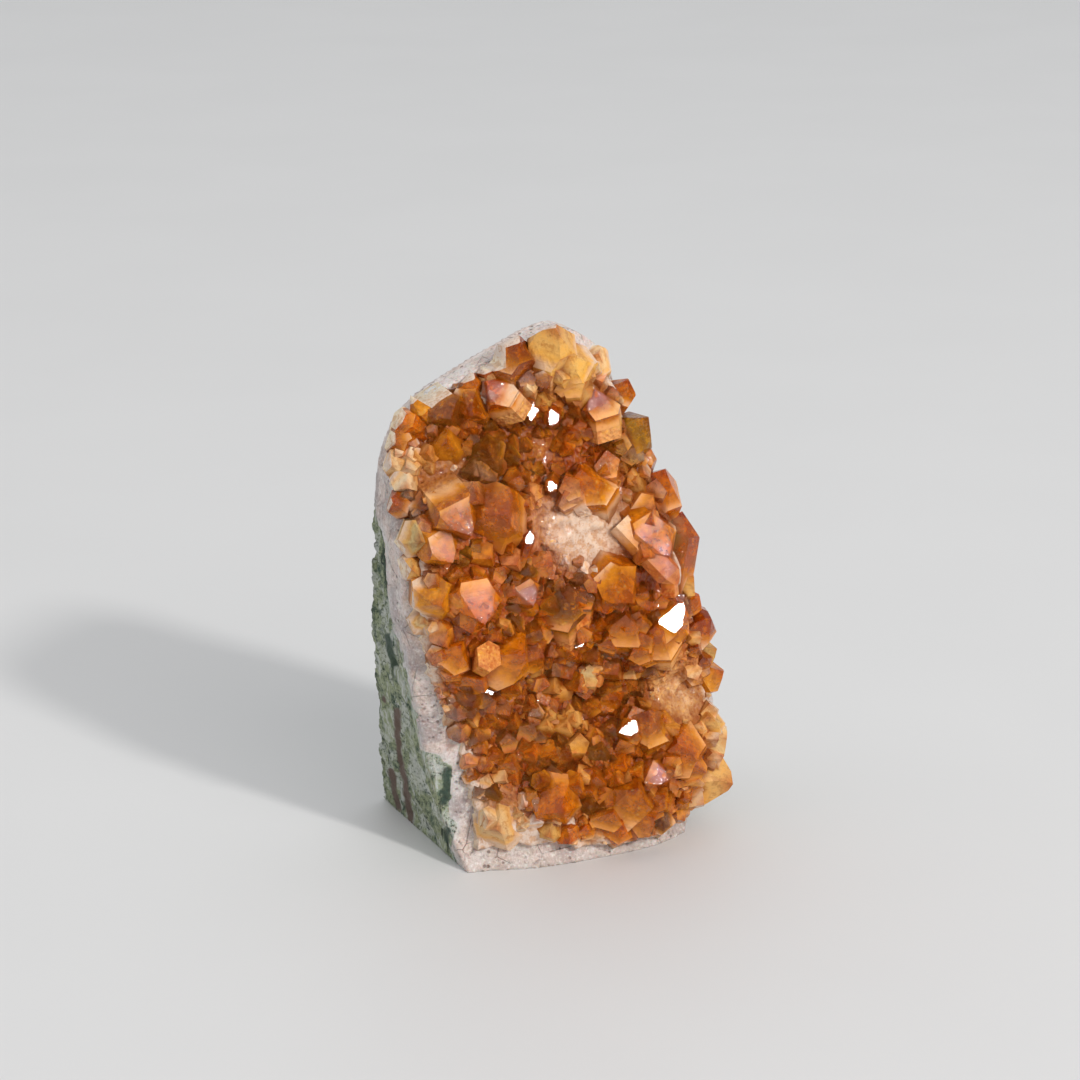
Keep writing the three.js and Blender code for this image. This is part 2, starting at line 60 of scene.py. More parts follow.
# The slab that the cluster grew on, in millimetres. "Along" runs level across its face, "up" is the
# height above the base and "out" is the distance out of the face. The crystals are laid out on a
# sight plane before the cluster, "across" to the right and "rise" up the plane, and are dropped
# back onto the bed.
FACE_TURN = math.radians(26.0)  # the face looks this far to the right of -Y
SIGHT_TILT = math.radians(18.0)  # the sight plane leans back this far from upright
ORIGIN = np.array((0.12, -20.9, 0.0))  # where the slab's own origin stands
HEART = np.array((4.0, 46.0))  # the outline is scaled about this point, (along, up)
OUTLINE_SPANS = 5  # points between two stops of the outline, and along its straight base
BASE_SPANS = 24
FACE_SET_BACK = 0.5
FACE_LEAN = 0.09
ROUNDING = 5.0  # the face rounds back this far at its rim, this sharply, in full above this height
ROUNDING_POWER = 7
ROUND_ABOVE = 12.0
SEAM_DEPTH = 12.0
SEAM_LEAN = 0.065
SEAM_GAP = 0.3  # each stone stops this far from the seam between them
SEAM_DIP = 4.5  # the quartz runs this much deeper near the top, between these heights
DIP_HEIGHTS = (60, 70)
CRUST_REACH = 0.93  # share of the outline that the crust covers
LEFT_BARE = (  # it leaves more or less of the left bare round some heights: height, spread, share
    (24, 11, 0.16),
    (7, 8, 0.10),
    (80, 7, -0.075),
)
BARE_RIPPLES = ((0.012, 0.9, 0.5), (0.010, 2.3, -0.7))  # its ragged edge: share, turns up and along
BASE_CLEAR = 0.4  # the crystals end this far above the base
OVERHANG = 16.0  # crystals may stand this far past the outline on the right
OVERHANG_TOP = 3.0  # and this far over the top
TOP_FROM = 97.0
OVERHANG_LEFT = 2.4  # and this far over the left shoulder, between these heights
SHOULDER = (66.0, 90.0)
CRUST_ABOVE = 0.8  # the crust's skin above the bed, its depth in it and how uneven its facets are
CRUST_BELOW = 1.5
CRUST_BREAK = 0.06
CRUST_LUMPS = (2.6, 3, 13)  # its lumps: their size, octaves and seed, and their height
CRUST_SWELL = 0.8
CRUST_SEED = 7
CRUST_RINGS = 92  # rings of faces on its skin and its back, and how near the heart they start
CRUST_BACK_RINGS = 8
CRUST_FIRST_RING = 0.02
FIRST_RING = 0.1
STONE_RINGS = 14
LEVEL_GRID = 0.6  # the map of the crystals' mean height: its cells and how often it is smoothed
LEVEL_BLUR = 12
LEVEL_ALONG = (-45.0, 60.0)  # the map's ends, and how far before the slab its heights are felt from
LEVEL_UP = (-4.0, 112.0)
LEVEL_FROM = 60.0
NEARER = 0.4  # larger crystals stand out by this share of their girth more than listed
MOUND_RISE = 0.36  # round each larger crystal the crust rises by this share of its reach
MOUND_SPREAD = 1.05  # and falls off over this share of its girth, and this much more
MOUND_SKIRT = 0.8
MOUND_SHIFT = 0.25  # the mound's middle lies this share of the way up the crystal
MOUND_BLEND = 3  # how sharply two mounds meet
SINK = 0.45  # small crystals start this share of their girth under the crust's skin
STREWN_ALONG = (-32, 40)  # where small crystals are tried, and how far inside the crust's rim
STREWN_UP = (1.2, 102)
STREWN_RIM = 0.005
STREWN_EARLY = 0.3  # the first tries, this share of them, grow larger ones
EARLY_GIRTHS = (1.2, 2.0)
LATE_GIRTHS = (0.45, 0.95)
STREWN_REACHES = (1.25, 1.7)  # their reach, in girths
STREWN_APART = 0.55  # small crystals keep this share of their girths apart
STREWN_LEAN = 0.3
CROWD_SHARE = 0.75  # how near a larger crystal's axis a small one may stand, in their girths
CROWD_TAPER = 1.15
CROWD_OWN = 0.2
LEANED_ON = 1.9  # crystals of this girth have some slighter ones that lean on them
LEANING_COUNTS = (2, 5)  # from the first to just under the second
LEANING_GIRTHS = (0.35, 0.65)  # in the larger one's girths: girth and distance of the feet
LEANING_GAPS = (0.6, 1.1)
LEANING_RIM = 0.01
LEANING_LOWEST = 2
LEANING_OUTWARD = (0.05, 0.5)
LEANING_UNEVEN = 0.08
LEANING_REACH = 1.3  # in its own girths, and up to this share of the larger one's reach more
LEANING_MORE = 0.25
LEANING_NUMBERS = 2000  # their numbers start here

# Outline of the slab, (along, up), from the base's right end over the peak to the base's left end.
OUTLINE = (
    (30.5, 0), (34, 5), (37, 11), (38.5, 18), (38.4, 26), (37, 33), (34.4, 40), (31.6, 47),
    (28.8, 55), (27.4, 64), (25.4, 71), (23, 77), (20.6, 81.4), (19.6, 86), (18.4, 91.4),
    (16, 96.6), (11.6, 100.2), (7.4, 101.6), (2.6, 100.6), (-3, 98.4), (-8.4, 96), (-13.8, 93.6),
    (-18.8, 91), (-23, 87.2), (-25.8, 81.8), (-27, 75.4), (-27.4, 66), (-26.8, 51), (-25, 38),
    (-22.2, 25), (-18.8, 11), (-16, 0),
)

# Swells (+) and hollows (-) of the face: middle (along, up), depth, spread (along, up).
SWELLS = (
    ((-17, 57), 4, (10, 12)),
    ((-1, 31), -5, (11, 10)),
    ((21, 50), 3.5, (9, 10)),
    ((19, 13), 2, (11, 7)),
    ((-11, 84), -3.5, (12, 6)),
    ((4, 97), 2, (9, 5)),
    ((24, 30), -4, (11, 3.5)),
    ((6, 65), 2, (7, 6)),
    ((-16, 10), -5, (7, 18)),
    ((34, 4), -5, (6, 8)),
)

# Depth of the basalt's back, (up, out).
BACK = (
    (0, -45.5), (12, -40), (25, -33.5), (38, -28), (50, -24), (65, -21.5), (80, -20.4),
    (102, -20.2),
)

# The edge of the green basalt on the left wall, (across, rise), and streaks and patches there: half
# their width, then the places that they run through.
RIND = (
    (-18.5, -2), (-18.5, 1), (-20, 3.5), (-19.5, 5), (-18.8, 7.5), (-19, 9), (-20.2, 11),
    (-19.8, 14), (-19.2, 18), (-20, 20), (-22.5, 22.3), (-25.4, 22.8), (-25.6, 26), (-26, 30),
    (-27.7, 38), (-28.5, 41.5), (-29.3, 43), (-30.2, 46), (-31, 50), (-31.3, 57), (-31.7, 62),
    (-33.2, 66), (-40, 70), (-60, 102),
)
BROWN_SEAMS = (
    (0.75, (-30, 30), (-30.2, 22), (-29, 14), (-28.3, 5)),
    (0.7, (-32.2, 17), (-31, 9)),
    (0.6, (-32.7, 32), (-32.6, 31.6)),
)
PALE_PATCHES = (
    (0.6, (-27.2, 36), (-25.6, 26), (-24, 18)),
    (0.8, (-22.3, 17), (-22.6, 15.8)),
    (0.6, (-21.5, 9.6), (-21.3, 8)),
    (0.8, (-22, 5), (-21.4, 3.6)),
    (1.0, (-32, 29), (-32.2, 24)),
    (0.7, (-29.6, 38), (-28, 33)),
    (0.5, (-27.2, 26), (-27, 20)),
)
DARK_STREAKS = (
    (0.4, (-26.3, 34), (-25.7, 29)),
    (0.6, (-31.2, 60), (-31, 54)),
    (0.7, (-20.4, 19), (-20.2, 15.5), (-21, 13)),
    (0.6, (-20.6, 7.5), (-20.8, 5)),
    (0.8, (-31.4, 44), (-29.6, 37)),
)

# Body colours of the crystals, linear, and how clear each kind is.
KINDS = {
    "milk": ((0.80, 0.70, 0.62), 0.0),
    "cream": ((0.82, 0.56, 0.26), 0.12),
    "blush": ((0.86, 0.35, 0.12), 0.30),
    "straw": ((0.90, 0.50, 0.14), 0.28),
    "honey": ((0.92, 0.31, 0.012), 0.55),
    "olive": ((0.50, 0.23, 0.015), 0.70),
    "orange": ((0.92, 0.220, 0.004), 0.65),
    "amber": ((0.78, 0.165, 0.003), 0.75),
    "rust": ((0.68, 0.108, 0.003), 0.75),
    "brown": ((0.40, 0.088, 0.003), 0.85),
}

# The larger crystals: foot and tip (across, rise) on the sight plane, how far the tip stands nearer
# than the foot, girth, roll about the axis in degrees, and kind. A last word names a gleam: the
# crystal is turned until one of its faces mirrors a lamp to the camera.
CRYSTALS = (
    # Crown.
    ((-9, 95.5), (-7.4, 99.6), 4, 3, 10, "rust"),
    ((-12, 94), (-12.6, 96), 3, 1.7, 40, "blush"),
    ((-1.2, 98), (-0.6, 101.6), 4, 4.4, 5, "straw"),
    ((2.6, 93.5), (1.8, 96.4), 5, 4.3, 30, "straw"),
    ((7.4, 95), (8, 96.6), 3, 2.9, 12, "cream"),
    ((11, 91.8), (13.8, 92.2), 2, 2.3, 48, "amber"),
    ((6.8, 87.8), (7.4, 90), 5, 3.5, 2, "rust", "sheen"),
    ((-15.4, 90), (-16, 92.5), 3, 1.8, 22, "orange"),
    ((-12, 91.5), (-11.6, 92.6), 3, 2, 5, "cream"),
    ((-12.4, 89.4), (-12.8, 91), 5, 3.7, 34, "rust", "sheen"),
    ((-21, 86.4), (-18.8, 84.2), 5, 3.3, 16, "brown"),
    ((-16.2, 87), (-14.6, 84.8), 5, 2.9, 44, "amber"),
    ((-17.6, 88.6), (-17.7, 90), 2.5, 1.3, 0, "brown"),
    ((-27, 84), (-30.2, 85), 3, 2.1, 25, "amber"),
    ((-24, 86.6), (-26.4, 88.6), 3, 1.9, 55, "honey"),
    ((-27.8, 80.4), (-31, 80.6), 3, 2.2, 8, "orange"),
    ((-24.8, 81.6), (-24.4, 81), 3, 1.7, 20, "orange"),
    ((-20.4, 79.4), (-19.4, 79.8), 5, 3.6, 31, "honey"),
    ((-12.9, 77.2), (-12.2, 78.6), 5.5, 3.7, 3, "brown"),
    ((-16.6, 82.2), (-16, 82.4), 4, 1.9, 38, "amber"),
    ((-5.2, 85.8), (-4.6, 84), 4, 1.7, 12, "amber", "shine"),
    ((-0.6, 86), (-1.2, 83.4), 5, 1.3, 27, "rust", "shine"),
    ((-3, 88.2), (-2.4, 87.6), 3.5, 1.5, 50, "straw"),
    ((-28, 76.4), (-30.4, 76), 3, 3.0, 14, "cream"),
    ((-25.6, 77), (-25.2, 77.4), 3.5, 1.9, 37, "straw"),
    ((12.8, 83), (17.4, 85), 4, 3.1, 20, "olive"),
    ((8.8, 81.6), (9.2, 82.6), 4, 2.4, 9, "brown"),
    ((2, 82), (2.4, 82.4), 4, 2.4, 46, "rust"),
    ((5.4, 83), (5.6, 83.2), 3, 1.7, 18, "orange"),
    # Upper middle.
    ((5.6, 71), (4.8, 75.4), 5.5, 4.3, 30, "orange"),
    ((10.4, 77.4), (10.6, 78.4), 4, 2.1, 4, "brown"),
    ((14, 77), (14.2, 78.2), 4, 2.5, 33, "honey"),
    ((19, 72.6), (20.4, 75.6), 4, 4.2, 11, "orange"),
    ((17, 79.4), (17.6, 79.9), 2, 1.7, 41, "honey"),
    ((14.6, 72.6), (14.8, 73.6), 3.5, 3, 6, "straw"),
    ((17, 68.6), (17.3, 69.4), 3, 2.9, 24, "cream"),
    ((-6.6, 74), (-6.4, 74.4), 3, 2.1, 52, "amber"),
    ((-1.8, 71.6), (-1.2, 71.2), 4.5, 0.95, 15, "orange", "shine"),
    ((-4.6, 70.8), (-4.8, 71.4), 3.5, 1.6, 8, "blush"),
    # Left shoulder.
    ((-28, 69), (-30, 69.2), 3, 1.9, 19, "rust"),
    ((-24.4, 68.8), (-22.6, 68.2), 3, 2, 43, "brown"),
    ((-20.2, 71), (-20, 71.3), 2.5, 1.7, 2, "cream"),
    ((-19, 67), (-15, 63), 6, 3.7, 28, "orange", "sheen"),
    ((-11.8, 66.6), (-8.4, 66.4), 8, 4.7, 13, "amber"),
    ((-6.8, 60), (-4.6, 64), 5, 1.0, 36, "rust", "shine"),
    ((-16.6, 60.6), (-16, 60), 3, 2.2, 21, "olive"),
    ((-22.4, 61.6), (-18.6, 58.4), 5, 2.6, 7, "honey", "sheen"),
    ((-25.2, 63), (-24.4, 62.2), 4, 3.5, 47, "cream"),
    ((-26.2, 57.4), (-25.8, 57), 3, 2.6, 17, "straw"),
    ((-15.2, 54), (-12.5, 47.2), 5.5, 3.6, 30, "orange", "sheen"),
    ((-22, 52.4), (-20.6, 50.2), 4.5, 4.4, 10, "honey"),
    ((-24.6, 47.6), (-24, 47.4), 2, 2.4, 35, "cream"),
    ((-9.8, 57.4), (-9.6, 58), 3, 1.7, 1, "orange"),
    ((-6.2, 56.4), (-5.2, 57.6), 4, 2.7, 45, "brown"),
    ((-7, 53), (-3.8, 50.4), 5, 2.4, 23, "amber", "sheen"),
    ((-8.4, 48.4), (-8, 48), 3.5, 2.2, 12, "brown"),
    ((-11, 41.2), (-5.4, 41.2), 6.5, 4.6, 30, "orange"),
    ((-19.4, 41.4), (-17.4, 43), 4.5, 3.2, 5, "orange"),
    ((-17, 38.6), (-16.6, 38.8), 3.5, 2.1, 49, "amber"),
    ((-3, 45.6), (-2.8, 46), 4, 2.2, 26, "honey"),
    ((-16.8, 34.6), (-15.2, 31.6), 4, 2.4, 16, "brown"),
    ((-18.4, 30.4), (-17.6, 30.6), 1.5, 2.9, 39, "cream"),
    # Right shoulder.
    ((9.8, 56), (14.4, 50.4), 4.5, 3.8, 49, "orange"),
    ((13.8, 62), (22.8, 54), 3.8, 1.6, 0, "blush", "flank"),
    ((15, 65), (21, 59.5), 5.5, 3.6, 30, "orange"),
    ((17.6, 62.4), (20, 60.4), 5, 4.3, 9, "orange"),
    ((23.2, 57.6), (23.9, 67.8), 3, 2.6, 22, "rust"),
    ((1.4, 48.6), (0.8, 53.2), 5, 3.5, 13, "brown"),
    ((4.6, 47.4), (4.9, 48), 3, 2.1, 51, "orange"),
    ((12.6, 45), (13.2, 48.2), 5.5, 3.1, 32, "amber"),
    ((21.6, 48), (24, 50.6), 4.5, 2.7, 18, "orange", "shine"),
    ((18, 47.6), (17.9, 48), 3.5, 1.5, 3, "brown"),
    ((26.2, 45.2), (29.4, 48), 4, 3.2, 40, "rust"),
    ((25.4, 54.2), (26.4, 55.4), 2.5, 1.9, 11, "straw"),
    ((26.8, 50.6), (27.6, 51.6), 3, 1.7, 30, "orange"),
    ((28.4, 40.4), (31.2, 41.2), 2, 1.9, 22, "straw"),
    ((18.8, 43.4), (18.6, 46), 5.5, 3.8, 28, "orange"),
    ((27.4, 39.4), (28.2, 39.8), 4, 2.2, 54, "amber"),
    ((29.4, 35.4), (32.6, 37.2), 2.5, 2.4, 14, "honey"),
    ((6.4, 37), (6.5, 39), 3.5, 2.1, 30, "cream"),
    ((8.6, 43), (8.8, 43.4), 3, 1.5, 6, "cream"),
    ((1.9, 42.8), (2.1, 43.1), 3.5, 1.8, 48, "amber", "shine"),
    ((10.4, 41), (10.5, 41.4), 3, 2, 20, "brown"),
    ((14.4, 40.2), (14.2, 39.6), 3.5, 1.9, 34, "rust", "sheen"),
    ((6, 44.6), (6.2, 45), 3, 2.3, 2, "honey"),
    ((10.6, 48.4), (10.8, 48.9), 3, 2.1, 43, "amber"),
    # Hollow.
    ((-14.2, 28.4), (-13.6, 28), 3, 2, 25, "amber"),
    ((-9.6, 33.8), (-9.4, 34.2), 3, 1.7, 8, "honey"),
    ((-5.4, 28.8), (-5, 29.2), 3.5, 1.6, 37, "brown", "sheen"),
    ((-1.2, 29), (-1, 29.2), 3, 1.6, 53, "straw"),
    ((3, 28.4), (3.2, 28.6), 3.5, 1.9, 17, "straw"),
    ((-4.6, 22), (-4.2, 22.4), 3.5, 2.5, 4, "amber"),
    ((0.6, 24), (0.8, 24.3), 3, 2.2, 42, "brown"),
    ((8, 21.8), (9, 22.6), 3.5, 2.5, 27, "brown"),
    ((-12, 15), (-11.6, 15.4), 3, 2.2, 15, "brown"),
    ((-12, 22), (-11.6, 22.4), 3, 2.1, 50, "amber"),
    ((-15.6, 18), (-15.2, 18.3), 2, 1.9, 33, "amber"),
    ((9.4, 33), (12.6, 32.2), 4, 2.2, 9, "amber"),
    ((11.8, 25.4), (12.2, 26.2), 5.5, 1.6, 24, "amber", "shine"),
    # Lower lip.
    ((-11, 7.4), (-10.8, 8), 4.5, 4.6, 12, "cream"),
    ((-7.2, 10.6), (-7, 11.2), 2.5, 2, 46, "cream"),
    ((-3.4, 15), (-3, 15.6), 3.5, 2, 19, "honey"),
    ((-0.6, 13.8), (1, 11.6), 6, 4.6, 30, "orange"),
    ((6, 12.6), (6.1, 12.9), 4, 1.9, 7, "brown"),
    ((7, 16.8), (7.8, 17.8), 4, 2.4, 38, "amber"),
    ((3.2, 17), (3.4, 17.5), 3, 1.9, 55, "orange"),
    ((11.8, 18.8), (13, 19.8), 4, 2.2, 21, "orange"),
    ((12.8, 12.6), (15.6, 15.4), 6.5, 4.2, 26, "orange"),
    ((11, 7.4), (12.4, 9.2), 5, 2.7, 5, "amber"),
    ((5.4, 7.8), (5.5, 8.2), 3.5, 1.9, 44, "orange"),
    ((19.4, 8.4), (20.2, 9.8), 4, 2.8, 16, "brown"),
    ((16.6, 8.6), (16.7, 8.9), 3.5, 1.9, 31, "orange"),
    ((18.8, 16.4), (21.8, 16.6), 5, 2.5, 30, "amber", "sheen"),
    ((25, 16), (26.4, 17.8), 4.5, 2.9, 10, "amber"),
    ((23.7, 21.8), (23, 23.6), 6.5, 4.1, 29, "orange"),
    ((16.8, 25.4), (17.5, 30.2), 4.5, 3.7, 1, "amber"),
    ((20.6, 26.4), (20.7, 28.6), 3.5, 1.7, 35, "honey"),
    ((30, 23.4), (33.4, 24), 3, 4.2, 18, "cream"),
    ((29, 26.8), (29.8, 28.6), 4, 3, 40, "straw"),
    ((28.4, 14.2), (34.6, 14.6), 3, 4, 30, "straw"),
    ((27.2, 12.4), (27.8, 12.8), 4, 1.9, 3, "straw"),
    ((23.2, 11.2), (23.5, 11.6), 4, 2.3, 49, "honey"),
    ((2.4, 4.6), (2.6, 5), 3.5, 1.8, 30, "orange"),
    ((-1.4, 6), (-1.2, 6.5), 3.5, 2.3, 14, "straw"),
)

# Where the small crystals change: middle (across, rise), spread, girth, how densely they stand, and
# the kinds that grow there.
PATCHES = (
    ((0, 26), 11, 1.3, 0.9, ("brown", "amber", "rust", "orange", "brown", "straw")),
    ((-10, 36), 7, 1.3, 0.8, ("amber", "brown", "rust", "straw")),
    ((3.5, 64), 5.5, 1.0, 0.01, ("milk",)),
    ((8, 61), 5, 1.0, 0.01, ("milk",)),
    ((13, 66), 5, 1.0, 0.05, ("milk", "milk", "cream")),
    ((-24, 75), 7, 1.2, 0.10, ("cream", "cream", "blush")),
    ((-16, 74), 4, 1.0, 0.06, ("cream", "milk")),
    ((-26, 62), 5, 1.2, 0.10, ("cream", "cream", "blush")),
    ((-25, 50), 5, 1.2, 0.10, ("cream", "honey", "blush")),
    ((-8, 80), 8, 1.1, 0.45, ("brown", "amber", "olive")),
    ((4, 98), 7, 1.4, 0.20, ("straw", "cream")),
    ((12, 92), 6, 1.4, 0.15, ("cream", "blush", "straw")),
    ((22, 31), 6, 1.0, 0.25, ("straw", "cream", "honey")),
    ((24, 33), 4, 1.0, 0.15, ("cream", "milk")),
    ((3, 4), 6, 1.2, 0.35, ("straw", "cream", "honey")),
    ((-13, 8), 6, 1.2, 0.10, ("cream", "milk")),
    ((20, 10), 7, 1.3, 0.45, ("honey", "straw", "orange")),
    ((-19, 52), 7, 1.5, 0.15, ("blush", "honey", "orange")),
    ((-14, 64), 6, 1.5, 0.15, ("orange", "amber", "orange")),
    ((16, 86), 7, 1.4, 0.25, ("honey", "straw", "olive")),
    ((18, 74), 6, 1.4, 0.15, ("honey", "orange", "straw")),
    ((20, 60), 6, 1.4, 0.20, ("amber", "rust", "rust")),
    ((26, 45), 6, 1.3, 0.45, ("orange", "straw", "amber")),
    ((8, 46), 8, 1.3, 0.70, ("amber", "brown", "orange")),
    ((-6, 56), 6, 1.4, 0.35, ("amber", "rust", "brown")),
    ((-14, 90), 6, 1.2, 0.20, ("orange", "amber", "cream")),
    ((-22, 84), 6, 1.2, 0.25, ("amber", "rust", "brown")),
    ((8, 80), 5, 1.2, 0.35, ("orange", "rust", "amber")),
)

# What grows between the patches, and how much it counts beside them.
COMMON_KINDS = ("orange", "amber", "orange", "rust", "honey")
COMMON_GIRTH = 1.25
COMMON_DENSITY = 0.35
COMMON_WEIGHT = 0.12

SIDES = 6
SIDE_TURN = 60  # degrees from one side to the next
RHOMB_TILT = math.radians(51.8)  # quartz: end face's normal to the crystal's axis
ROOT = 2.0  # a crystal's root below its foot, and the share of its girth added to it
ROOT_SHARE = 0.6
SIDE_UNEVEN = 0.12  # how unevenly far from the axis a crystal's side faces lie, in girths
BROAD_UNEVEN = 0.05  # and its broad end faces
NARROW_SET_BACK = 0.16  # its narrow end faces lie this far back, so that they stay small
NARROW_UNEVEN = 0.1
SIDE_WAVE = (2.7, 2.1)  # how each changes from crystal to crystal and from side to side
BROAD_WAVE = (1.0, 1.3)
NARROW_WAVE = (1.9, 1.0)
PARALLEL = 1e-6  # planes whose corner is less sharp than this don't meet
TOUCHING = 1e-4  # a point this near to a plane lies on it
SAME_DIGITS = 4  # corners that agree to this many digits of a millimetre are one
WIDEST = 1.3  # a listed crystal is drawn up to this much wider, until its reach is this many girths
SLIMMEST = 1.65
SAME_FACE_GAP = 0.05  # a face of the joined mesh this near to a crystal's own face is a piece of it
SEARCH_GAP = 0.3
GAP_COST = 2
CREAM_FOOT = np.array((0.84, 0.50, 0.22))  # the crystals' milky feet
CREAM_SHARE = 0.2  # their share in the crust's colour, and in the feet of the larger crystals
CREAM_FOOT_SHARE = 0.35
SIDE_RIPER = 0.55  # side faces are riper than end faces at the same height
CRUST_GROWN = -0.35  # how ripe the crust is on the crystals' scale, 0 at the foot and 1 at the tip
CRUST_GLOSS = 0.5
TINT_SPREAD = 0.15  # how much the crystals differ in brightness, and in hue
HUE_SPREAD = 0.03
GROUND_SHARE = 0.4  # the crust's share in the colour of small crystals
SMALL_BARED = 0.3  # the share of a crystal's reach that the crust covers, small and larger
MOUND_BARED = 0.9
STRIPE_SHIFT = 7.3  # moves the growth stripes from one crystal to the next
GOLDEN_SHARE = 0.618034  # spreads the faces' gloss evenly
END_GLOSS = 0.6
PALE_ROOT = (0.95, 0.80, 0.55)
MILKY_HUE = np.array((0.68, 0.60, 0.56))  # the crust turns milky towards its rim, over this share
MILKY_RIM = 0.07
MILKY_WANDER = 0.4
MILKY_CLOUDS = (2.5, 2, 19)  # how its edge wanders: size, octaves, seed
MILKY_CLEAR = 0.15  # no crystals lean on others where the crust is less clear than this
LAMP_FROM = Vector((0.56, -0.64, 0.53)).normalized()  # towards the key lamp
SOFT_FROM = Vector((0.42, -0.72, 0.56)).normalized()  # towards the soft lamp
GLEAMS = {  # the lamp that a crystal's face is turned to mirror, and whether that is an end face
    "shine": (LAMP_FROM, True),
    "sheen": (SOFT_FROM, True),
    "flank": (SOFT_FROM, False),
}

FLOOR_HALF = 5.0  # the stage, in metres: the floor's half width, its faint clouds and its grain
FLOOR_CLOUD_SIZE = 0.08
FLOOR_GRAIN_SIZE = 0.0015
FLOOR_RELIEF = 0.0002
FLOOR_CLOUDED = 0.985
LAMP_AIM = Vector((0.0, 0.0, 0.045))
LAMP_FAR = 3.0
KEY_WIDTH = 0.28
KEY_COLOUR = (1.0, 0.98, 0.95)
SOFT_WIDTH = 2.2
SOFT_COLOUR = (1.0, 0.96, 0.95)
BRIGHT_FROM = Vector((-0.45, 0.45, 0.77)).normalized()  # where the pale room is brightest
DIM_TO_BRIGHT = (-0.7, 0.9)  # cosines of the angle to there at which it is dim and bright
ROOM_COLOUR = (0.97, 0.985, 1.0)
CAMERA_PLACE = Vector((-0.00273, -0.5437, 0.2354))
CAMERA_LENS = 100.0  # in millimetres, like the width of its sensor
CAMERA_SENSOR = 36.0

ALONG = np.array((math.cos(FACE_TURN), math.sin(FACE_TURN), 0.0))
OUT = np.array((math.sin(FACE_TURN), -math.cos(FACE_TURN), 0.0))


# ---- The slab --------------------------------------------------------------------------------


def on_slab(along, up, out):
    """Points given in the slab's own directions, in millimetres."""
    level = np.multiply.outer(along, ALONG) + np.multiply.outer(out, OUT)
    level[..., 2] = up
    return level + ORIGIN


def on_sight(across, rise, depth):
    """A point of the sight plane, moved back from it by depth."""
    sin, cos = math.sin(SIGHT_TILT), math.cos(SIGHT_TILT)
    return np.array((across, rise * sin + depth * cos, rise * cos - depth * sin)) + ORIGIN


def slab_place(points):
    """(along, up, out) of points in millimetres."""
    flat = points - ORIGIN
    return flat @ ALONG, flat[..., 2], flat @ OUT


def sight_place(points):
    """(across, rise) of points in millimetres, as seen square to the sight plane."""
    flat = points - ORIGIN
    return flat[..., 0], flat[..., 2] * math.cos(SIGHT_TILT) + flat[..., 1] * math.sin(SIGHT_TILT)


def curve_through(stops, spans):
    """A smooth run of points through the stops, with some points for each span between two."""
    stops = np.array(stops, float)
    ends = np.vstack((2 * stops[0] - stops[1], stops, 2 * stops[-1] - stops[-2]))
    t = np.linspace(0, 1, spans, endpoint=False)[:, None]
    runs = []
    for a, b, c, d in zip(ends, ends[1:], ends[2:], ends[3:]):
        bend = (2 * a - 5 * b + 4 * c - d) * t**2 + (3 * b - a - 3 * c + d) * t**3
        runs.append(b + 0.5 * ((c - a) * t + bend))
    runs.append(stops[-1:])
    return np.vstack(runs)


def outline_ring():
    """The outline as a closed ring: the curve over the top, then the straight base."""
    top = curve_through(OUTLINE, OUTLINE_SPANS)
    base = np.linspace(top[-1], top[0], BASE_SPANS)[1:-1]
    ring = np.vstack((top, base))
    ring[:, 1] = np.maximum(ring[:, 1], 0)
    return ring


RING = outline_ring()
RING_ANGLES = np.unwrap(np.arctan2(RING[:, 1] - HEART[1], RING[:, 0] - HEART[0]))
RING_REACHES = np.hypot(RING[:, 0] - HEART[0], RING[:, 1] - HEART[1])


def rim_share(along, up):
    """Share of the way from the outline's heart to its rim, 1 on the rim."""
    x, y = along - HEART[0], up - HEART[1]
    angle = np.arctan2(y, x)
    low = RING_ANGLES[0]
    angle = low + (angle - low) % (2 * math.pi)
    ends = np.append(RING_ANGLES, low + 2 * math.pi)
    reaches = np.append(RING_REACHES, RING_REACHES[0])
    return np.hypot(x, y) / np.interp(angle, ends, reaches)


def finer(ring):
    """A closed ring with another point between each two."""
    between = (ring + np.roll(ring, -1, axis=0)) / 2
    return np.stack((ring, between), axis=1).reshape(-1, 2)


def crust_reach(along, up):
    """Share of the outline that the crust covers, on the way to a point of it."""
    bare = 0
    for share, turns_up, turns_along in BARE_RIPPLES:
        bare = bare + share * np.sin(turns_up * up + turns_along * along)
    for height, spread, share in LEFT_BARE:
        bare = bare + share * np.exp(-(((up - height) / spread) ** 2))
    at_left = along < HEART[0]
    return CRUST_REACH - bare * at_left


def face_out(along, up):
    """How far the crystal-bearing face stands out."""
    full = np.clip(up / ROUND_ABOVE, 0, 1)
    rounded = np.minimum(rim_share(along, up), 1) ** ROUNDING_POWER
    out = -FACE_SET_BACK - FACE_LEAN * up - ROUNDING * rounded * full
    for middle, depth, spread in SWELLS:
        square = ((along - middle[0]) / spread[0]) ** 2 + ((up - middle[1]) / spread[1]) ** 2
        out = out + depth * np.exp(-square / 2)
    return out


def seam_out(along, up):
    """Where the milky quartz meets the basalt."""
    return -SEAM_DEPTH - SEAM_LEAN * up + 0 * along


def back_out(along, up):
    """How far back the basalt reaches."""
    heights, outs = np.array(BACK).T
    return np.interp(up, heights, outs) + 0 * along


def surface_normal(surface, along, up):
    """Where a surface of the slab faces at a place, as a vector."""
    step = 0.5
    slope_along = (surface(along + step, up) - surface(along - step, up)) / (2 * step)
    slope_up = (surface(along, up + step) - surface(along, up - step)) / (2 * step)
    normal = OUT - slope_along * ALONG - slope_up * np.array((0, 0, 1))
    return normal / np.linalg.norm(normal)


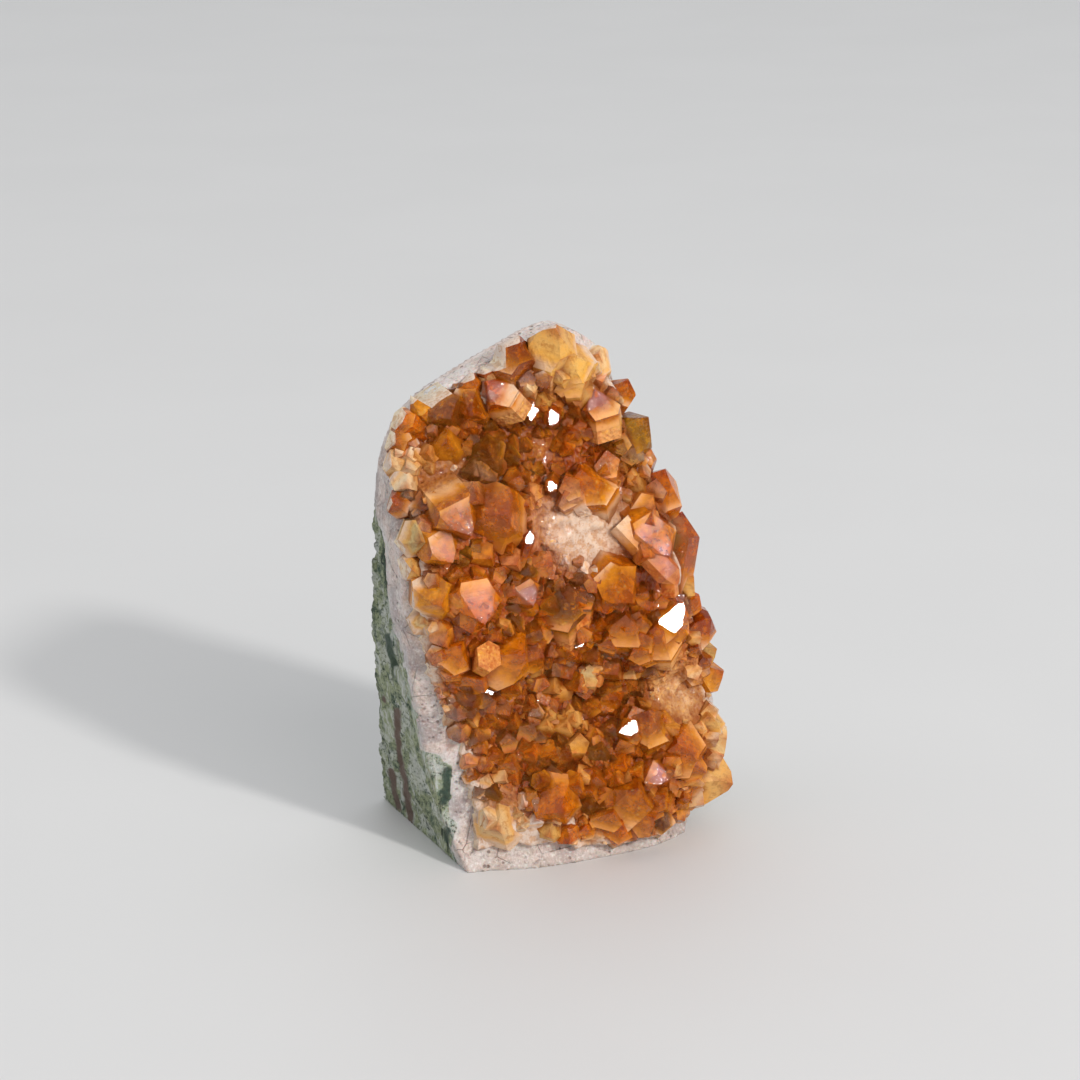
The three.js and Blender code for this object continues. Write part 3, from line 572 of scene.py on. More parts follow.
def new_piece(name, points, faces, slot, node=None):
    """A mesh object from points in millimetres, riding on the cluster's body."""
    mesh = bpy.data.meshes.new(name)
    mesh.from_pydata((np.asarray(points) * MM).tolist(), [], faces)
    mesh.validate()
    piece = bpy.data.objects.new(name, mesh)
    bpy.context.scene.collection.objects.link(piece)
    if node:
        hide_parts(node)
    if slot:
        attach(piece, BODY)
    return piece


def mesh_points(mesh):
    """A mesh's points in millimetres."""
    flat = np.empty(len(mesh.vertices) * 3, np.float32)
    mesh.vertices.foreach_get("co", flat)
    return flat.reshape(-1, 3).astype(float) / MM


def set_points(mesh, points):
    """Moves a mesh's points to places given in millimetres."""
    mesh.vertices.foreach_set("co", (points * MM).astype(np.float32).ravel())
    mesh.update()


def mesh_normals(mesh):
    """Which way a mesh faces at each of its points."""
    flat = np.empty(len(mesh.vertices) * 3, np.float32)
    mesh.vertices.foreach_get("normal", flat)
    return flat.reshape(-1, 3).astype(float)


def write_values(mesh, domain, **values):
    """Keeps a value at each point or corner of a mesh, for its finish."""
    for name, value in values.items():
        written = mesh.attributes.new(name, "FLOAT", domain)
        written.data.foreach_set("value", value.astype(np.float32))


def smooth_step(low, high, value):
    """0 at low, 1 at high and smooth between."""
    share = np.clip((value - low) / (high - low), 0, 1)
    return share * share * (3 - 2 * share)


def lifted(surface, lift):
    """A surface moved along the slab's out direction, in millimetres."""
    return lambda along, up: surface(along, up) + lift


def roughness_field(points, size, octaves, seed):
    """Cloudy noise, about -1 to 1, at points in millimetres with lumps of a size."""
    shift = Vector((seed, 2.3 * seed, -1.7 * seed))
    return np.array([noise.fractal(Vector(p) / size + shift, 1.0, 2.0, octaves) for p in points])


def layer_mesh(front, back, rings, reach=1.0, ring=None, back_rings=None):
    """Points and faces of a closed layer of the slab between a front and a back surface."""
    points, faces = [], []
    ring = RING if ring is None else ring
    back_rings = rings if back_rings is None else back_rings
    count = len(ring)
    rim = HEART + (ring - HEART) * np.reshape(reach, (-1, 1))
    for surface, shares, flip in ((front, rings, False), (back, back_rings, True)):
        first = len(points)
        points.append(on_slab(HEART[0], HEART[1], surface(HEART[0], HEART[1])))
        for share in shares:
            place = HEART + (rim - HEART) * share
            points.extend(on_slab(place[:, 0], place[:, 1], surface(place[:, 0], place[:, 1])))
        for i in range(count):
            j = (i + 1) % count
            fan = [first, first + 1 + i, first + 1 + j]
            faces.append(fan[::-1] if flip else fan)
            for step in range(len(shares) - 1):
                low, high = first + 1 + step * count, first + 1 + (step + 1) * count
                quad = [low + i, high + i, high + j, low + j]
                faces.append(quad[::-1] if flip else quad)
    front_rim = 1 + (len(rings) - 1) * count
    back_rim = front_rim + 1 + len(back_rings) * count
    for i in range(count):
        j = (i + 1) % count
        faces.append([front_rim + i, back_rim + i, back_rim + j, front_rim + j])
    return points, faces


def apply_modifier(piece, kind, **settings):
    """Adds a modifier to a piece and applies it at once."""
    modifier = piece.modifiers.new(kind.title(), kind)
    for name, value in settings.items():
        setattr(modifier, name, value)
    with bpy.context.temp_override(object=piece, active_object=piece, selected_objects=[piece]):
        bpy.ops.object.modifier_apply(modifier=modifier.name)


# ---- The crystals ----------------------------------------------------------------------------


def drop_on_bed(across, rise):
    """The point of the bed behind a point of the sight plane, drawn in to where the crust ends."""
    near, far = -100.0, 100.0
    halvings = 40
    for _ in range(halvings):
        depth = (near + far) / 2
        along, up, out = slab_place(on_sight(across, rise, depth))
        if out > face_out(along, up):
            near = depth
        else:
            far = depth
    along, up, _ = slab_place(on_sight(across, rise, near))
    drawn = min(1.0, crust_reach(along, up) / rim_share(along, up))
    along, up = HEART + (np.array((along, up)) - HEART) * drawn
    return on_slab(along, up, face_out(along, up))


def crystal_normals(axis, turn):
    """Normals of a crystal's six side faces, and of its end faces, by turns broad and narrow."""
    spin = Vector((0, 0, 1)).rotation_difference(Vector(axis))
    flat, steep = math.cos(RHOMB_TILT), math.sin(RHOMB_TILT)
    sides, ends = [], []
    for side in range(SIDES):
        angle = math.radians(turn + SIDE_TURN * side)
        sides.append(spin @ Vector((math.cos(angle), math.sin(angle), 0)))
        ends.append(spin @ Vector((math.cos(angle) * steep, math.sin(angle) * steep, flat)))
    return sides, ends


def mirror_normal(place, lamp_from):
    """Which way a face looks that shows a lamp to the camera from a place in millimetres."""
    place = Vector(place) * MM
    to_lamp = (LAMP_AIM + lamp_from * LAMP_FAR - place).normalized()
    return (to_lamp + (CAMERA_PLACE - place).normalized()).normalized()


def wave(number, side, pace):
    """A number from -1 to 1 that changes with a crystal's number and its side."""
    return math.sin(number * pace[0] + side * pace[1])


def crystal_planes(foot, tip, girth, turn, number, gleam=None, narrow=True):
    """A crystal's planes, its side faces first, and its foot, axis and reach as they end up."""
    axis = tip - foot
    reach = np.linalg.norm(axis)
    axis = axis / reach
    if gleam:
        lamp_from, at_end = gleam
        target = mirror_normal(tip, lamp_from)

        def nearest_face(roll):
            """The broad face that looks most nearly where it should."""
            faces = crystal_normals(axis, roll)[at_end][::2]
            return max(faces, key=lambda normal: normal.dot(target))

        turn = max(range(2 * SIDE_TURN), key=lambda roll: nearest_face(roll).dot(target))
    sides, ends = crystal_normals(axis, turn)
    if gleam:
        swing = nearest_face(turn).rotation_difference(target)
        sides = [swing @ normal for normal in sides]
        ends = [swing @ normal for normal in ends]
        axis = np.array(swing @ Vector(axis))
        foot = tip - axis * reach
    flat = math.cos(RHOMB_TILT)
    normals, reaches = [], []
    for side in range(SIDES):
        normals.append(sides[side])
        reaches.append(girth * (1 + SIDE_UNEVEN * wave(number, side, SIDE_WAVE)))
    for side in range(SIDES):
        is_narrow = side % 2
        if is_narrow and not narrow:
            continue
        if is_narrow:
            back = NARROW_SET_BACK + NARROW_UNEVEN * wave(number, side, NARROW_WAVE)
        else:
            back = BROAD_UNEVEN * wave(number, side, BROAD_WAVE)
        normals.append(ends[side])
        reaches.append(flat * reach + back * girth)
    normals.append(-Vector(axis))
    reaches.append(ROOT + ROOT_SHARE * girth)
    normals = np.array(normals)
    return normals, np.array(reaches) + normals @ foot, foot, axis, reach


def solid_inside(normals, distances):
    """Corners and faces of the body inside some planes. faces[i] lies on plane i, or is None."""
    count = len(normals)
    triples = np.array([(i, j, k) for i in range(count) for j in range(i) for k in range(j)])
    systems = normals[triples]
    sharp = np.abs(np.linalg.det(systems)) > PARALLEL
    triples = triples[sharp]
    points = np.linalg.solve(systems[sharp], distances[triples][..., None])[..., 0]
    inside = (points @ normals.T - distances < PARALLEL).all(axis=1)
    points = points[inside]
    keys = {}
    merged = []
    corner_of = []
    for point in points:
        key = tuple(np.round(point, SAME_DIGITS))
        if key not in keys:
            keys[key] = len(merged)
            merged.append(point)
        corner_of.append(keys[key])
    merged = np.array(merged)
    faces = []
    for normal, distance in zip(normals, distances):
        on = np.nonzero(np.abs(merged @ normal - distance) < TOUCHING)[0]
        if len(on) < 3:
            faces.append(None)
            continue
        middle = merged[on].mean(axis=0)
        first = merged[on[0]] - middle
        second = np.cross(normal, first)
        spokes = merged[on] - middle
        order = np.argsort(np.arctan2(spokes @ second, spokes @ first))
        faces.append(on[order].tolist())
    return merged, faces


class Crystal:
    """One crystal: its shape, and what its faces need to know about it."""

    def __init__(self, foot, tip, girth, turn, number, kind, gleam=None, narrow=True):
        shape = crystal_planes(foot, tip, girth, turn, number, gleam, narrow)
        normals, distances, self.foot, self.axis, self.reach = shape
        self.points, self.faces = solid_inside(normals, distances)
        self.girth = girth
        self.kind = kind
        self.number = number
        self.low = self.points.min(axis=0)
        self.high = self.points.max(axis=0)

    def meets(self, other):
        """Whether the boxes round two crystals overlap."""
        return bool((self.low < other.high).all() and (other.low < self.high).all())


def listed_crystals():
    """The larger crystals, from their list."""
    made = []
    for number, row in enumerate(CRYSTALS):
        (across, rise), (tip_across, tip_rise), near, girth, turn, kind = row[:6]
        foot = drop_on_bed(across, rise)
        local = foot - ORIGIN
        depth = local[1] * math.cos(SIGHT_TILT) - local[2] * math.sin(SIGHT_TILT)
        gleam = GLEAMS.get(row[-1])
        if not gleam:
            near += NEARER * girth
        tip = on_sight(tip_across, tip_rise, depth - near)
        girth = max(girth, min(WIDEST * girth, np.linalg.norm(tip - foot) / SLIMMEST))
        made.append(Crystal(foot, tip, girth, turn, number, kind, gleam))
    return made


class Crust:
    """The crust's skin: a thin cover over the bed, with a mound round each larger crystal."""

    def __init__(self, crystals):
        self.feet = np.array([crystal.foot for crystal in crystals])
        self.axes = np.array([crystal.axis for crystal in crystals])
        self.reaches = np.array([crystal.reach for crystal in crystals])
        self.girths = np.array([crystal.girth for crystal in crystals])
        middles = self.feet + self.axes * self.reaches[:, None] * MOUND_SHIFT
        self.along, self.up, _ = slab_place(middles)
        self.height = MOUND_RISE * self.reaches
        self.spread = MOUND_SPREAD * self.girths + MOUND_SKIRT

    def rise(self, along, up):
        """How far the skin stands out of the bed."""
        gaps = np.hypot(np.subtract.outer(along, self.along), np.subtract.outer(up, self.up))
        mounds = self.height * np.exp(-((gaps / self.spread) ** 2))
        return CRUST_ABOVE + (mounds**MOUND_BLEND).sum(axis=-1) ** (1 / MOUND_BLEND)

    def skin(self, along, up):
        """How far out the skin lies."""
        return face_out(along, up) + self.rise(along, up)

    def crowded(self, point, girth):
        """Whether a small crystal at a point would stand inside a larger one."""
        local = point - self.feet
        share = np.clip((local * self.axes).sum(axis=1), 0, self.reaches)
        gaps = np.linalg.norm(local - share[:, None] * self.axes, axis=1)
        room = CROWD_SHARE * self.girths * (CROWD_TAPER - share / self.reaches)
        return bool((gaps < room + CROWD_OWN * girth).any())

    def layer(self):
        """Points and faces of the crust, its skin lumpy and broken into small facets."""
        chance = np.random.default_rng(CRUST_SEED)

        def broken(along, up):
            """The skin with its lumps and small breaks."""
            flat = np.stack((np.ravel(along), np.ravel(up), 0 * np.ravel(up)), axis=-1)
            lumps = roughness_field(flat, *CRUST_LUMPS).reshape(np.shape(along))
            breaks = chance.normal(0, CRUST_BREAK, np.shape(along))
            return self.skin(along, up) + CRUST_SWELL * lumps + breaks

        ring = finer(RING)
        reach = crust_reach(ring[:, 0], ring[:, 1])
        rings = np.linspace(CRUST_FIRST_RING, 1, CRUST_RINGS)
        back_rings = np.linspace(FIRST_RING, 1, CRUST_BACK_RINGS)
        back = lifted(face_out, -CRUST_BELOW)
        return layer_mesh(broken, back, rings, reach, ring, back_rings)


def patch_weights(across, rise):
    """How much each patch, and at last the common growth, counts at some places."""
    weights = []
    for (x, y), spread, *_ in PATCHES:
        weights.append(np.exp(-((np.hypot(across - x, rise - y) / spread) ** 2)))
    weights.append(COMMON_WEIGHT + 0 * weights[0])
    weights = np.array(weights)
    return weights / weights.sum(axis=0)


def ground_colour(across, rise):
    """The colour and clearness of the crust at some places, between the kinds that grow there."""
    kinds = [row[-1] for row in PATCHES] + [COMMON_KINDS]
    hues = np.array([np.mean([KINDS[kind][0] for kind in group], axis=0) for group in kinds])
    clears = np.array([np.mean([KINDS[kind][1] for kind in group]) for group in kinds])
    weights = patch_weights(across, rise)
    return weights.T @ hues, weights.T @ clears


def small_crystals(crust, count, sizes):
    """Small crystals strewn over the crust between the larger ones."""
    chance = np.random.default_rng(sizes.seed)
    taken = [(0.0, 0.0, -100.0, 0.0)]  # places and room of those that stand; the first is far away
    usual_girths = np.array([row[2] for row in PATCHES] + [COMMON_GIRTH])
    densities = np.array([row[3] for row in PATCHES] + [COMMON_DENSITY])
    kinds = [row[-1] for row in PATCHES] + [COMMON_KINDS]
    made = []
    for attempt in range(sizes.tries):
        along = chance.uniform(*STREWN_ALONG)
        up = chance.uniform(*STREWN_UP)
        if rim_share(along, up) > crust_reach(along, up) - STREWN_RIM:
            continue
        skin = on_slab(along, up, crust.skin(along, up))
        weights = patch_weights(*sight_place(skin))
        patch = chance.choice(len(kinds), p=weights)
        kind = kinds[patch][chance.integers(len(kinds[patch]))]
        if chance.uniform() > (weights @ densities) ** 2:
            continue
        early = attempt < sizes.tries * STREWN_EARLY
        girth = weights @ usual_girths * sizes.small_girth
        girth = girth * chance.uniform(*(EARLY_GIRTHS if early else LATE_GIRTHS))
        room = STREWN_APART * girth
        spots = np.array(taken)
        apart = np.linalg.norm(spots[:, :3] - skin, axis=1)
        if (apart < spots[:, 3] + room).any() or crust.crowded(skin, girth):
            continue
        taken.append((*skin, room))
        axis = surface_normal(crust.skin, along, up) + chance.normal(0, STREWN_LEAN, 3)
        axis = axis / np.linalg.norm(axis)
        foot = skin - axis * SINK * girth
        tip = foot + axis * (girth * chance.uniform(*STREWN_REACHES))
        turn = chance.uniform(0, SIDE_TURN)
        made.append(Crystal(foot, tip, girth, turn, count + len(made), kind, narrow=False))
    return made


def companions(larger, crust, sizes):
    """Slighter crystals that lean on the larger ones, nearly parallel to them."""
    chance = np.random.default_rng(sizes.seed + 1)
    made = []
    for crystal in larger:
        if crystal.girth < LEANED_ON:
            continue
        for _ in range(chance.integers(*LEANING_COUNTS)):
            side = np.cross(crystal.axis, chance.normal(0, 1, 3))
            side = side / np.linalg.norm(side)
            girth = crystal.girth * chance.uniform(*LEANING_GIRTHS)
            foot = crystal.foot + side * crystal.girth * chance.uniform(*LEANING_GAPS)
            along, up, _ = slab_place(foot)
            past_rim = rim_share(along, up) > crust_reach(along, up) - LEANING_RIM
            if past_rim or up < LEANING_LOWEST:
                continue
            if ground_colour(*sight_place(foot))[1] < MILKY_CLEAR:
                continue
            foot = on_slab(along, up, crust.skin(along, up) - SINK * girth)
            axis = crystal.axis + side * chance.uniform(*LEANING_OUTWARD)
            axis = axis + chance.normal(0, LEANING_UNEVEN, 3)
            axis = axis / np.linalg.norm(axis)
            more = crystal.reach * chance.uniform(0.0, LEANING_MORE)
            tip = foot + axis * (girth * LEANING_REACH + more)
            number = LEANING_NUMBERS + len(made)
            turn = chance.uniform(0, SIDE_TURN)
            made.append(Crystal(foot, tip, girth, turn, number, crystal.kind, narrow=False))
    return made


def joined(crystals):
    """Points, faces and, for each face, its crystal and whether it is an end face."""
    points, faces, owners, ends = [], [], [], []
    start = 0
    for index, crystal in crystals:
        points.append(crystal.points)
        last = len(crystal.faces) - 1
        for plane, face in enumerate(crystal.faces):
            if face is None:
                continue
            faces.append([start + corner for corner in face])
            owners.append(index)
            ends.append(SIDES <= plane < last)
        start += len(crystal.points)
    return np.vstack(points), faces, owners, ends


def spread_out(crystals):
    """Sorts crystals into groups, so that no two of a group touch."""
    groups = []
    for index, crystal in enumerate(crystals):
        for group in groups:
            if not any(crystal.meets(other) for _, other in group):
                group.append((index, crystal))
                break
        else:
            groups.append([(index, crystal)])
    return groups


def grow_together(name, crystals, crust):
    """Joins the crust and all the crystals into one closed mesh, and returns it."""
    apply_modifier(crust, "TRIANGULATE")
    for group in spread_out(crystals):
        points, faces, _, _ = joined(group)
        other = new_piece("group", points, faces, None)
        apply_modifier(crust, "BOOLEAN", operation="UNION", solver="MANIFOLD", object=other)
        bpy.data.objects.remove(other)
    crust.name = name
    return crust


def trim_to_slab(piece):
    """Saws off what reaches too far past the slab's outline, and keeps the base clear."""
    away = RING - HEART
    away = away / np.linalg.norm(away, axis=1)[:, None]
    shoulder = (RING[:, 1] > SHOULDER[0]) & (RING[:, 1] < SHOULDER[1])
    push = np.where(RING[:, 1] > TOP_FROM, OVERHANG_TOP, 0.0)
    push = push + np.where(shoulder, OVERHANG_LEFT, 0.0)
    push = np.where(RING[:, 0] > HEART[0], OVERHANG, push)
    outline = RING + away * push[:, None]
    outline[:, 1] = np.maximum(outline[:, 1], BASE_CLEAR)
    count = len(outline)
    reach = 100.0
    points = np.vstack([on_slab(outline[:, 0], outline[:, 1], side) for side in (reach, -reach)])
    faces = [list(range(count)), list(range(2 * count - 1, count - 1, -1))]
    faces += [[i + count, (i + 1) % count + count, (i + 1) % count, i] for i in range(count)]
    saw = new_piece("saw", points, faces, None)
    apply_modifier(saw, "TRIANGULATE")
    apply_modifier(piece, "BOOLEAN", operation="INTERSECT", solver="MANIFOLD", object=saw)
    bpy.data.objects.remove(saw)


def drop_bubbles(piece):
    """Removes the tiny sealed hollows between the joined crystals, and keeps the outer surface."""
    surface = bmesh.new()
    surface.from_mesh(piece.data)
    seen = set()
    patches = []
    for first in surface.verts:
        if first in seen:
            continue
        seen.add(first)
        patch = [first]
        for corner in patch:
            for edge in corner.link_edges:
                other = edge.other_vert(corner)
                if other not in seen:
                    seen.add(other)
                    patch.append(other)
        patches.append(patch)
    patches.sort(key=len)
    for patch in patches[:-1]:
        bmesh.ops.delete(surface, geom=patch, context="VERTS")
    surface.to_mesh(piece.data)
    surface.free()


def source_faces(mesh, crystals):
    """For each face of the joined mesh, where it came from: None for the crust, or its crystal's
    index, whether it is an end face, and its own number."""
    points, faces, owners, ends = joined(list(enumerate(crystals)))
    tree = BVHTree.FromPolygons([Vector(point) for point in points], faces)
    mesh.calc_loop_triangles()
    broadest = {}
    for triangle in mesh.loop_triangles:
        best = broadest.get(triangle.polygon_index)
        if best is None or triangle.area > best.area:
            broadest[triangle.polygon_index] = triangle
    sources = []
    for index in range(len(mesh.polygons)):
        triangle = broadest[index]
        middle = sum((mesh.vertices[i].co for i in triangle.vertices), Vector()) / (3 * MM)
        best_fit, source = None, None
        for _, normal, face, gap in tree.find_nearest_range(middle, SEARCH_GAP):
            fit = abs(normal.dot(triangle.normal)) - GAP_COST * gap
            if gap < SAME_FACE_GAP and (best_fit is None or fit > best_fit):
                best_fit, source = fit, (owners[face], ends[face], face)
        sources.append(source)
    return sources


def mean_level(mesh):
    """A map of how far the crystals stand out of the bed round each place: its rows' and columns'
    places, along and up, and its values."""
    points = [vertex.co / MM for vertex in mesh.vertices]
    tree = BVHTree.FromPolygons(points, [tuple(polygon.vertices) for polygon in mesh.polygons])
    alongs = np.arange(*LEVEL_ALONG, LEVEL_GRID)
    ups = np.arange(*LEVEL_UP, LEVEL_GRID)
    levels = np.zeros((len(alongs), len(ups)))
    inwards = -Vector(OUT)
    for i, along in enumerate(alongs):
        for j, up in enumerate(ups):
            struck = tree.ray_cast(Vector(on_slab(along, up, LEVEL_FROM)), inwards)[3]
            if struck is not None:
                levels[i, j] = LEVEL_FROM - struck - face_out(along, up)
    levels = np.maximum(levels, 0)
    for _ in range(LEVEL_BLUR):
        for axis in (0, 1):
            levels = (np.roll(levels, 1, axis) + 2 * levels + np.roll(levels, -1, axis)) / 4
    return alongs, ups, levels


def read_map(level_map, along, up):
    """A map's values at some places, the nearest cell for each."""
    alongs, ups, levels = level_map
    i = np.clip(np.round((along - alongs[0]) / LEVEL_GRID).astype(int), 0, len(alongs) - 1)
    j = np.clip(np.round((up - ups[0]) / LEVEL_GRID).astype(int), 0, len(ups) - 1)
    return levels[i, j]


def colour_crystals(mesh, crystals, count, sizes):
    """Writes what the crystals' finish needs to know at each corner of the mesh."""
    chance = np.random.default_rng(sizes.seed + 2)
    tints = chance.normal(1, TINT_SPREAD, (len(crystals), 1))
    tints = tints * chance.normal(1, HUE_SPREAD, (len(crystals), 3))
    places = mesh_points(mesh)
    along, up, out = slab_place(places)
    height = out - face_out(along, up)
    # How far each point lies under the crystals' mean level round it; the finish paints shade into
    # the hollows by it.
    sunk = height - read_map(mean_level(mesh), along, up)
    # The crust takes its colour from the kinds round it, and turns milky at its rim.
    ground, ground_clear = ground_colour(*sight_place(places))
    inside = crust_reach(along, up) - rim_share(along, up)
    wander = MILKY_RIM * MILKY_WANDER * roughness_field(places, *MILKY_CLOUDS)
    milky = smooth_step(MILKY_RIM, 0.0, inside + wander)
    ground = ground + (MILKY_HUE - ground) * milky[:, None]
    ground_clear = ground_clear * (1 - milky)
    corners = np.empty(len(mesh.loops), np.int32)
    mesh.loops.foreach_get("vertex_index", corners)
    foot = np.ones((len(corners), 4), np.float32)
    foot[:, :3] = (ground * (1 - CREAM_SHARE) + CREAM_FOOT * CREAM_SHARE)[corners]
    tip = foot.copy()
    clear = ground_clear[corners].astype(np.float32)
    grown = np.full(len(corners), CRUST_GROWN, np.float32)
    gloss = np.full(len(corners), CRUST_GLOSS, np.float32)
    stripe = np.zeros(len(corners), np.float32)
    for polygon, source in zip(mesh.polygons, source_faces(mesh, crystals)):
        if source is None:
            polygon.use_smooth = True
            continue
        index, is_end, face = source
        crystal = crystals[index]
        loops = slice(polygon.loop_start, polygon.loop_start + polygon.loop_total)
        hue, clarity = KINDS[crystal.kind]
        hue = np.array(hue) * tints[index]
        if index >= count:
            hue = hue * (1 - GROUND_SHARE) + ground[corners[loops]] * GROUND_SHARE
            bared = crystal.reach * SMALL_BARED
        else:
            own = foot[loops, :3] * (1 - CREAM_FOOT_SHARE)
            foot[loops, :3] = own + CREAM_FOOT * CREAM_FOOT_SHARE
            bared = crystal.reach * (MOUND_RISE * MOUND_BARED)
        tip[loops, :3] = np.clip(hue, 0, 1)
        reached = (places[corners[loops]] - crystal.foot) @ crystal.axis
        riper = 0.0 if is_end else SIDE_RIPER
        clear[loops] = clarity
        grown[loops] = (reached - bared) / (crystal.reach - bared) + riper
        stripe[loops] = reached + STRIPE_SHIFT * crystal.number
        gloss[loops] = (face * GOLDEN_SHARE) % 1.0 * (END_GLOSS if is_end else 1.0)
    # What lies in the bed is pale and milky, and throws back the light in the clear crystals.
    buried = (height < 0.0)[corners]
    foot[buried, :3] = tip[buried, :3] = PALE_ROOT
    clear[buried] = 0.0
    write_values(mesh, "CORNER", clear=clear, grown=grown, stripe=stripe, gloss=gloss)
    for name, colour in (("tip", tip), ("foot", foot)):
        written = mesh.attributes.new(name, "FLOAT_COLOR", "CORNER")
        written.data.foreach_set("color", colour.ravel())
    write_values(mesh, "POINT", sunk=sunk)


# ---- Shader maths ----------------------------------------------------------------------------


class Value:
    """An output socket of a finish, so that shader maths is written as Python."""

    def __init__(self, finish, socket):
        self.finish = finish
        self.socket = socket

    def maths(self, operation, *values, clamp=False):
        settings = {"operation": operation, "use_clamp": clamp}
        return self.finish.node("ShaderNodeMath", settings, *values)

    def __add__(self, other):
        return self.maths("ADD", self, other)

    def __radd__(self, other):
        return self.maths("ADD", other, self)

    def __sub__(self, other):
        return self.maths("SUBTRACT", self, other)

    def __rsub__(self, other):
        return self.maths("SUBTRACT", other, self)

    def __mul__(self, other):
        return self.maths("MULTIPLY", self, other)

    def __rmul__(self, other):
        return self.maths("MULTIPLY", other, self)

    def __pow__(self, other):
        return self.maths("POWER", self, other)

    def clipped(self):
        """The value kept between 0 and 1."""
        return self.maths("ADD", self, 0.0, clamp=True)

    def step(self, low, high):
        """0 at low, 1 at high and smooth between."""
        settings = {"interpolation_type": "SMOOTHSTEP", "clamp": True}
        return self.finish.node("ShaderNodeMapRange", settings, self, low, high, 0.0, 1.0)


class Finish:
    """A material, or the room's light, and the nodes that make it."""

    def __init__(self, name, is_room=False):
        self.owner = bpy.data.worlds.new(name) if is_room else bpy.data.materials.new(name)
        self.owner.use_nodes = True
        self.tree = self.owner.node_tree
        self.tree.nodes.clear()
        kind = "ShaderNodeOutputWorld" if is_room else "ShaderNodeOutputMaterial"
        self.output = self.tree.nodes.new(kind)

    def node(self, kind, settings, *values, out=0, **named):
        """Adds a node, sets it, fills its sockets with numbers or values, and returns one output.
        Sockets are given in their order, None for one that stays as it is, or by name."""
        node = self.tree.nodes.new(kind)
        for name, setting in settings.items():
            setattr(node, name, setting)
        sockets = dict(enumerate(values))
        sockets.update({name.replace("_", " "): value for name, value in named.items()})
        for name, value in sockets.items():
            socket = node.inputs[name]
            if isinstance(value, Value):
                self.tree.links.new(value.socket, socket)
            elif value is not None:
                socket.default_value = (*value, 1.0) if socket.type == "RGBA" else value
        return Value(self, node.outputs[out])

    def place(self):
        """The place on the piece, in metres."""
        return self.node("ShaderNodeTexCoord", {}, out="Object")

    def attribute(self, name, out="Fac"):
        """What a piece keeps under a name."""
        return self.node("ShaderNodeAttribute", {"attribute_name": name}, out=out)

    def vector(self, operation, *values, out=0):
        return self.node("ShaderNodeVectorMath", {"operation": operation}, *values, out=out)

    def clouds(self, place, size, detail=4.0, roughness=0.5):
        """Soft noise with lumps of a size in metres."""
        sockets = {"Scale": 1 / size, "Detail": detail, "Roughness": roughness}
        return self.node("ShaderNodeTexNoise", {}, Vector=place, **sockets)

    def cells(self, place, size, feature="F1"):
        """Cells of a size in metres."""
        return self.node("ShaderNodeTexVoronoi", {"feature": feature}, Vector=place, Scale=1 / size)

    def mix(self, factor, first, second, blend="MIX"):
        """A mix of two colours."""
        settings = {"data_type": "RGBA", "blend_type": blend}
        others = (None,) * 5  # sockets of mixes that aren't of colours
        return self.node("ShaderNodeMix", settings, factor, *others, first, second, out=2)

    def stained_or_shaded(self, factor, colour, stain):
        """A colour that a stain or painted shade darkens, as far as a factor says."""
        return self.mix(factor, colour, self.mix(1.0, colour, stain, "MULTIPLY"))

    def bump(self, height, strength, distance, normal=None):
        """Relief of a height, on top of another relief if there is one."""
        sockets = {"Strength": strength, "Distance": distance, "Height": height, "Normal": normal}
        return self.node("ShaderNodeBump", {}, **sockets)

    def shader(self, **named):
        """A Principled shader with some of its sockets set."""
        return self.node("ShaderNodeBsdfPrincipled", {}, **named)

    def finish_with(self, surface, volume=None):
        """Links the shaders to the output, and returns the material or the room."""
        self.tree.links.new(surface.socket, self.output.inputs["Surface"])
        if volume:
            self.tree.links.new(volume.socket, self.output.inputs["Volume"])
        return self.owner


# Sizes in the crystals, in metres, their gloss, and colours of clouds, painted glints and painted
# shade.
VEIL_SIZE = 0.0016
HAZE_SIZE = 0.0036
GRAIN_SIZE = 0.0006
PAINTED_GLINT_SIZE = 0.0014
SPARKLE_SIZE = 0.0009
STRIPES_PER_MM = 2.6
FINE_RELIEF = 0.0003
SPARKLE_RELIEF = 0.0005
QUARTZ_IOR = 1.544
POLISH_IOR = 1.5
POLISH_ROUGHNESS = 0.03
RIPE_STAIN = (0.70, 0.37, 0.22)
FOOT_STAIN = (0.80, 0.60, 0.45)
TIP_STAIN = (0.54, 0.30, 0.15)
# Painted shade, laid into the hollows between the crystals.
PAINTED_HOLLOW_SHADE = (0.40, 0.21, 0.10)
GOLD_GRAIN = (0.93, 0.48, 0.10)
# Painted glints: bright golden specks that stand in for light caught inside the crystals.
PAINTED_GLINT = (1.0, 0.62, 0.16)
CLEAR_TINT = (1.0, 0.92, 0.74)


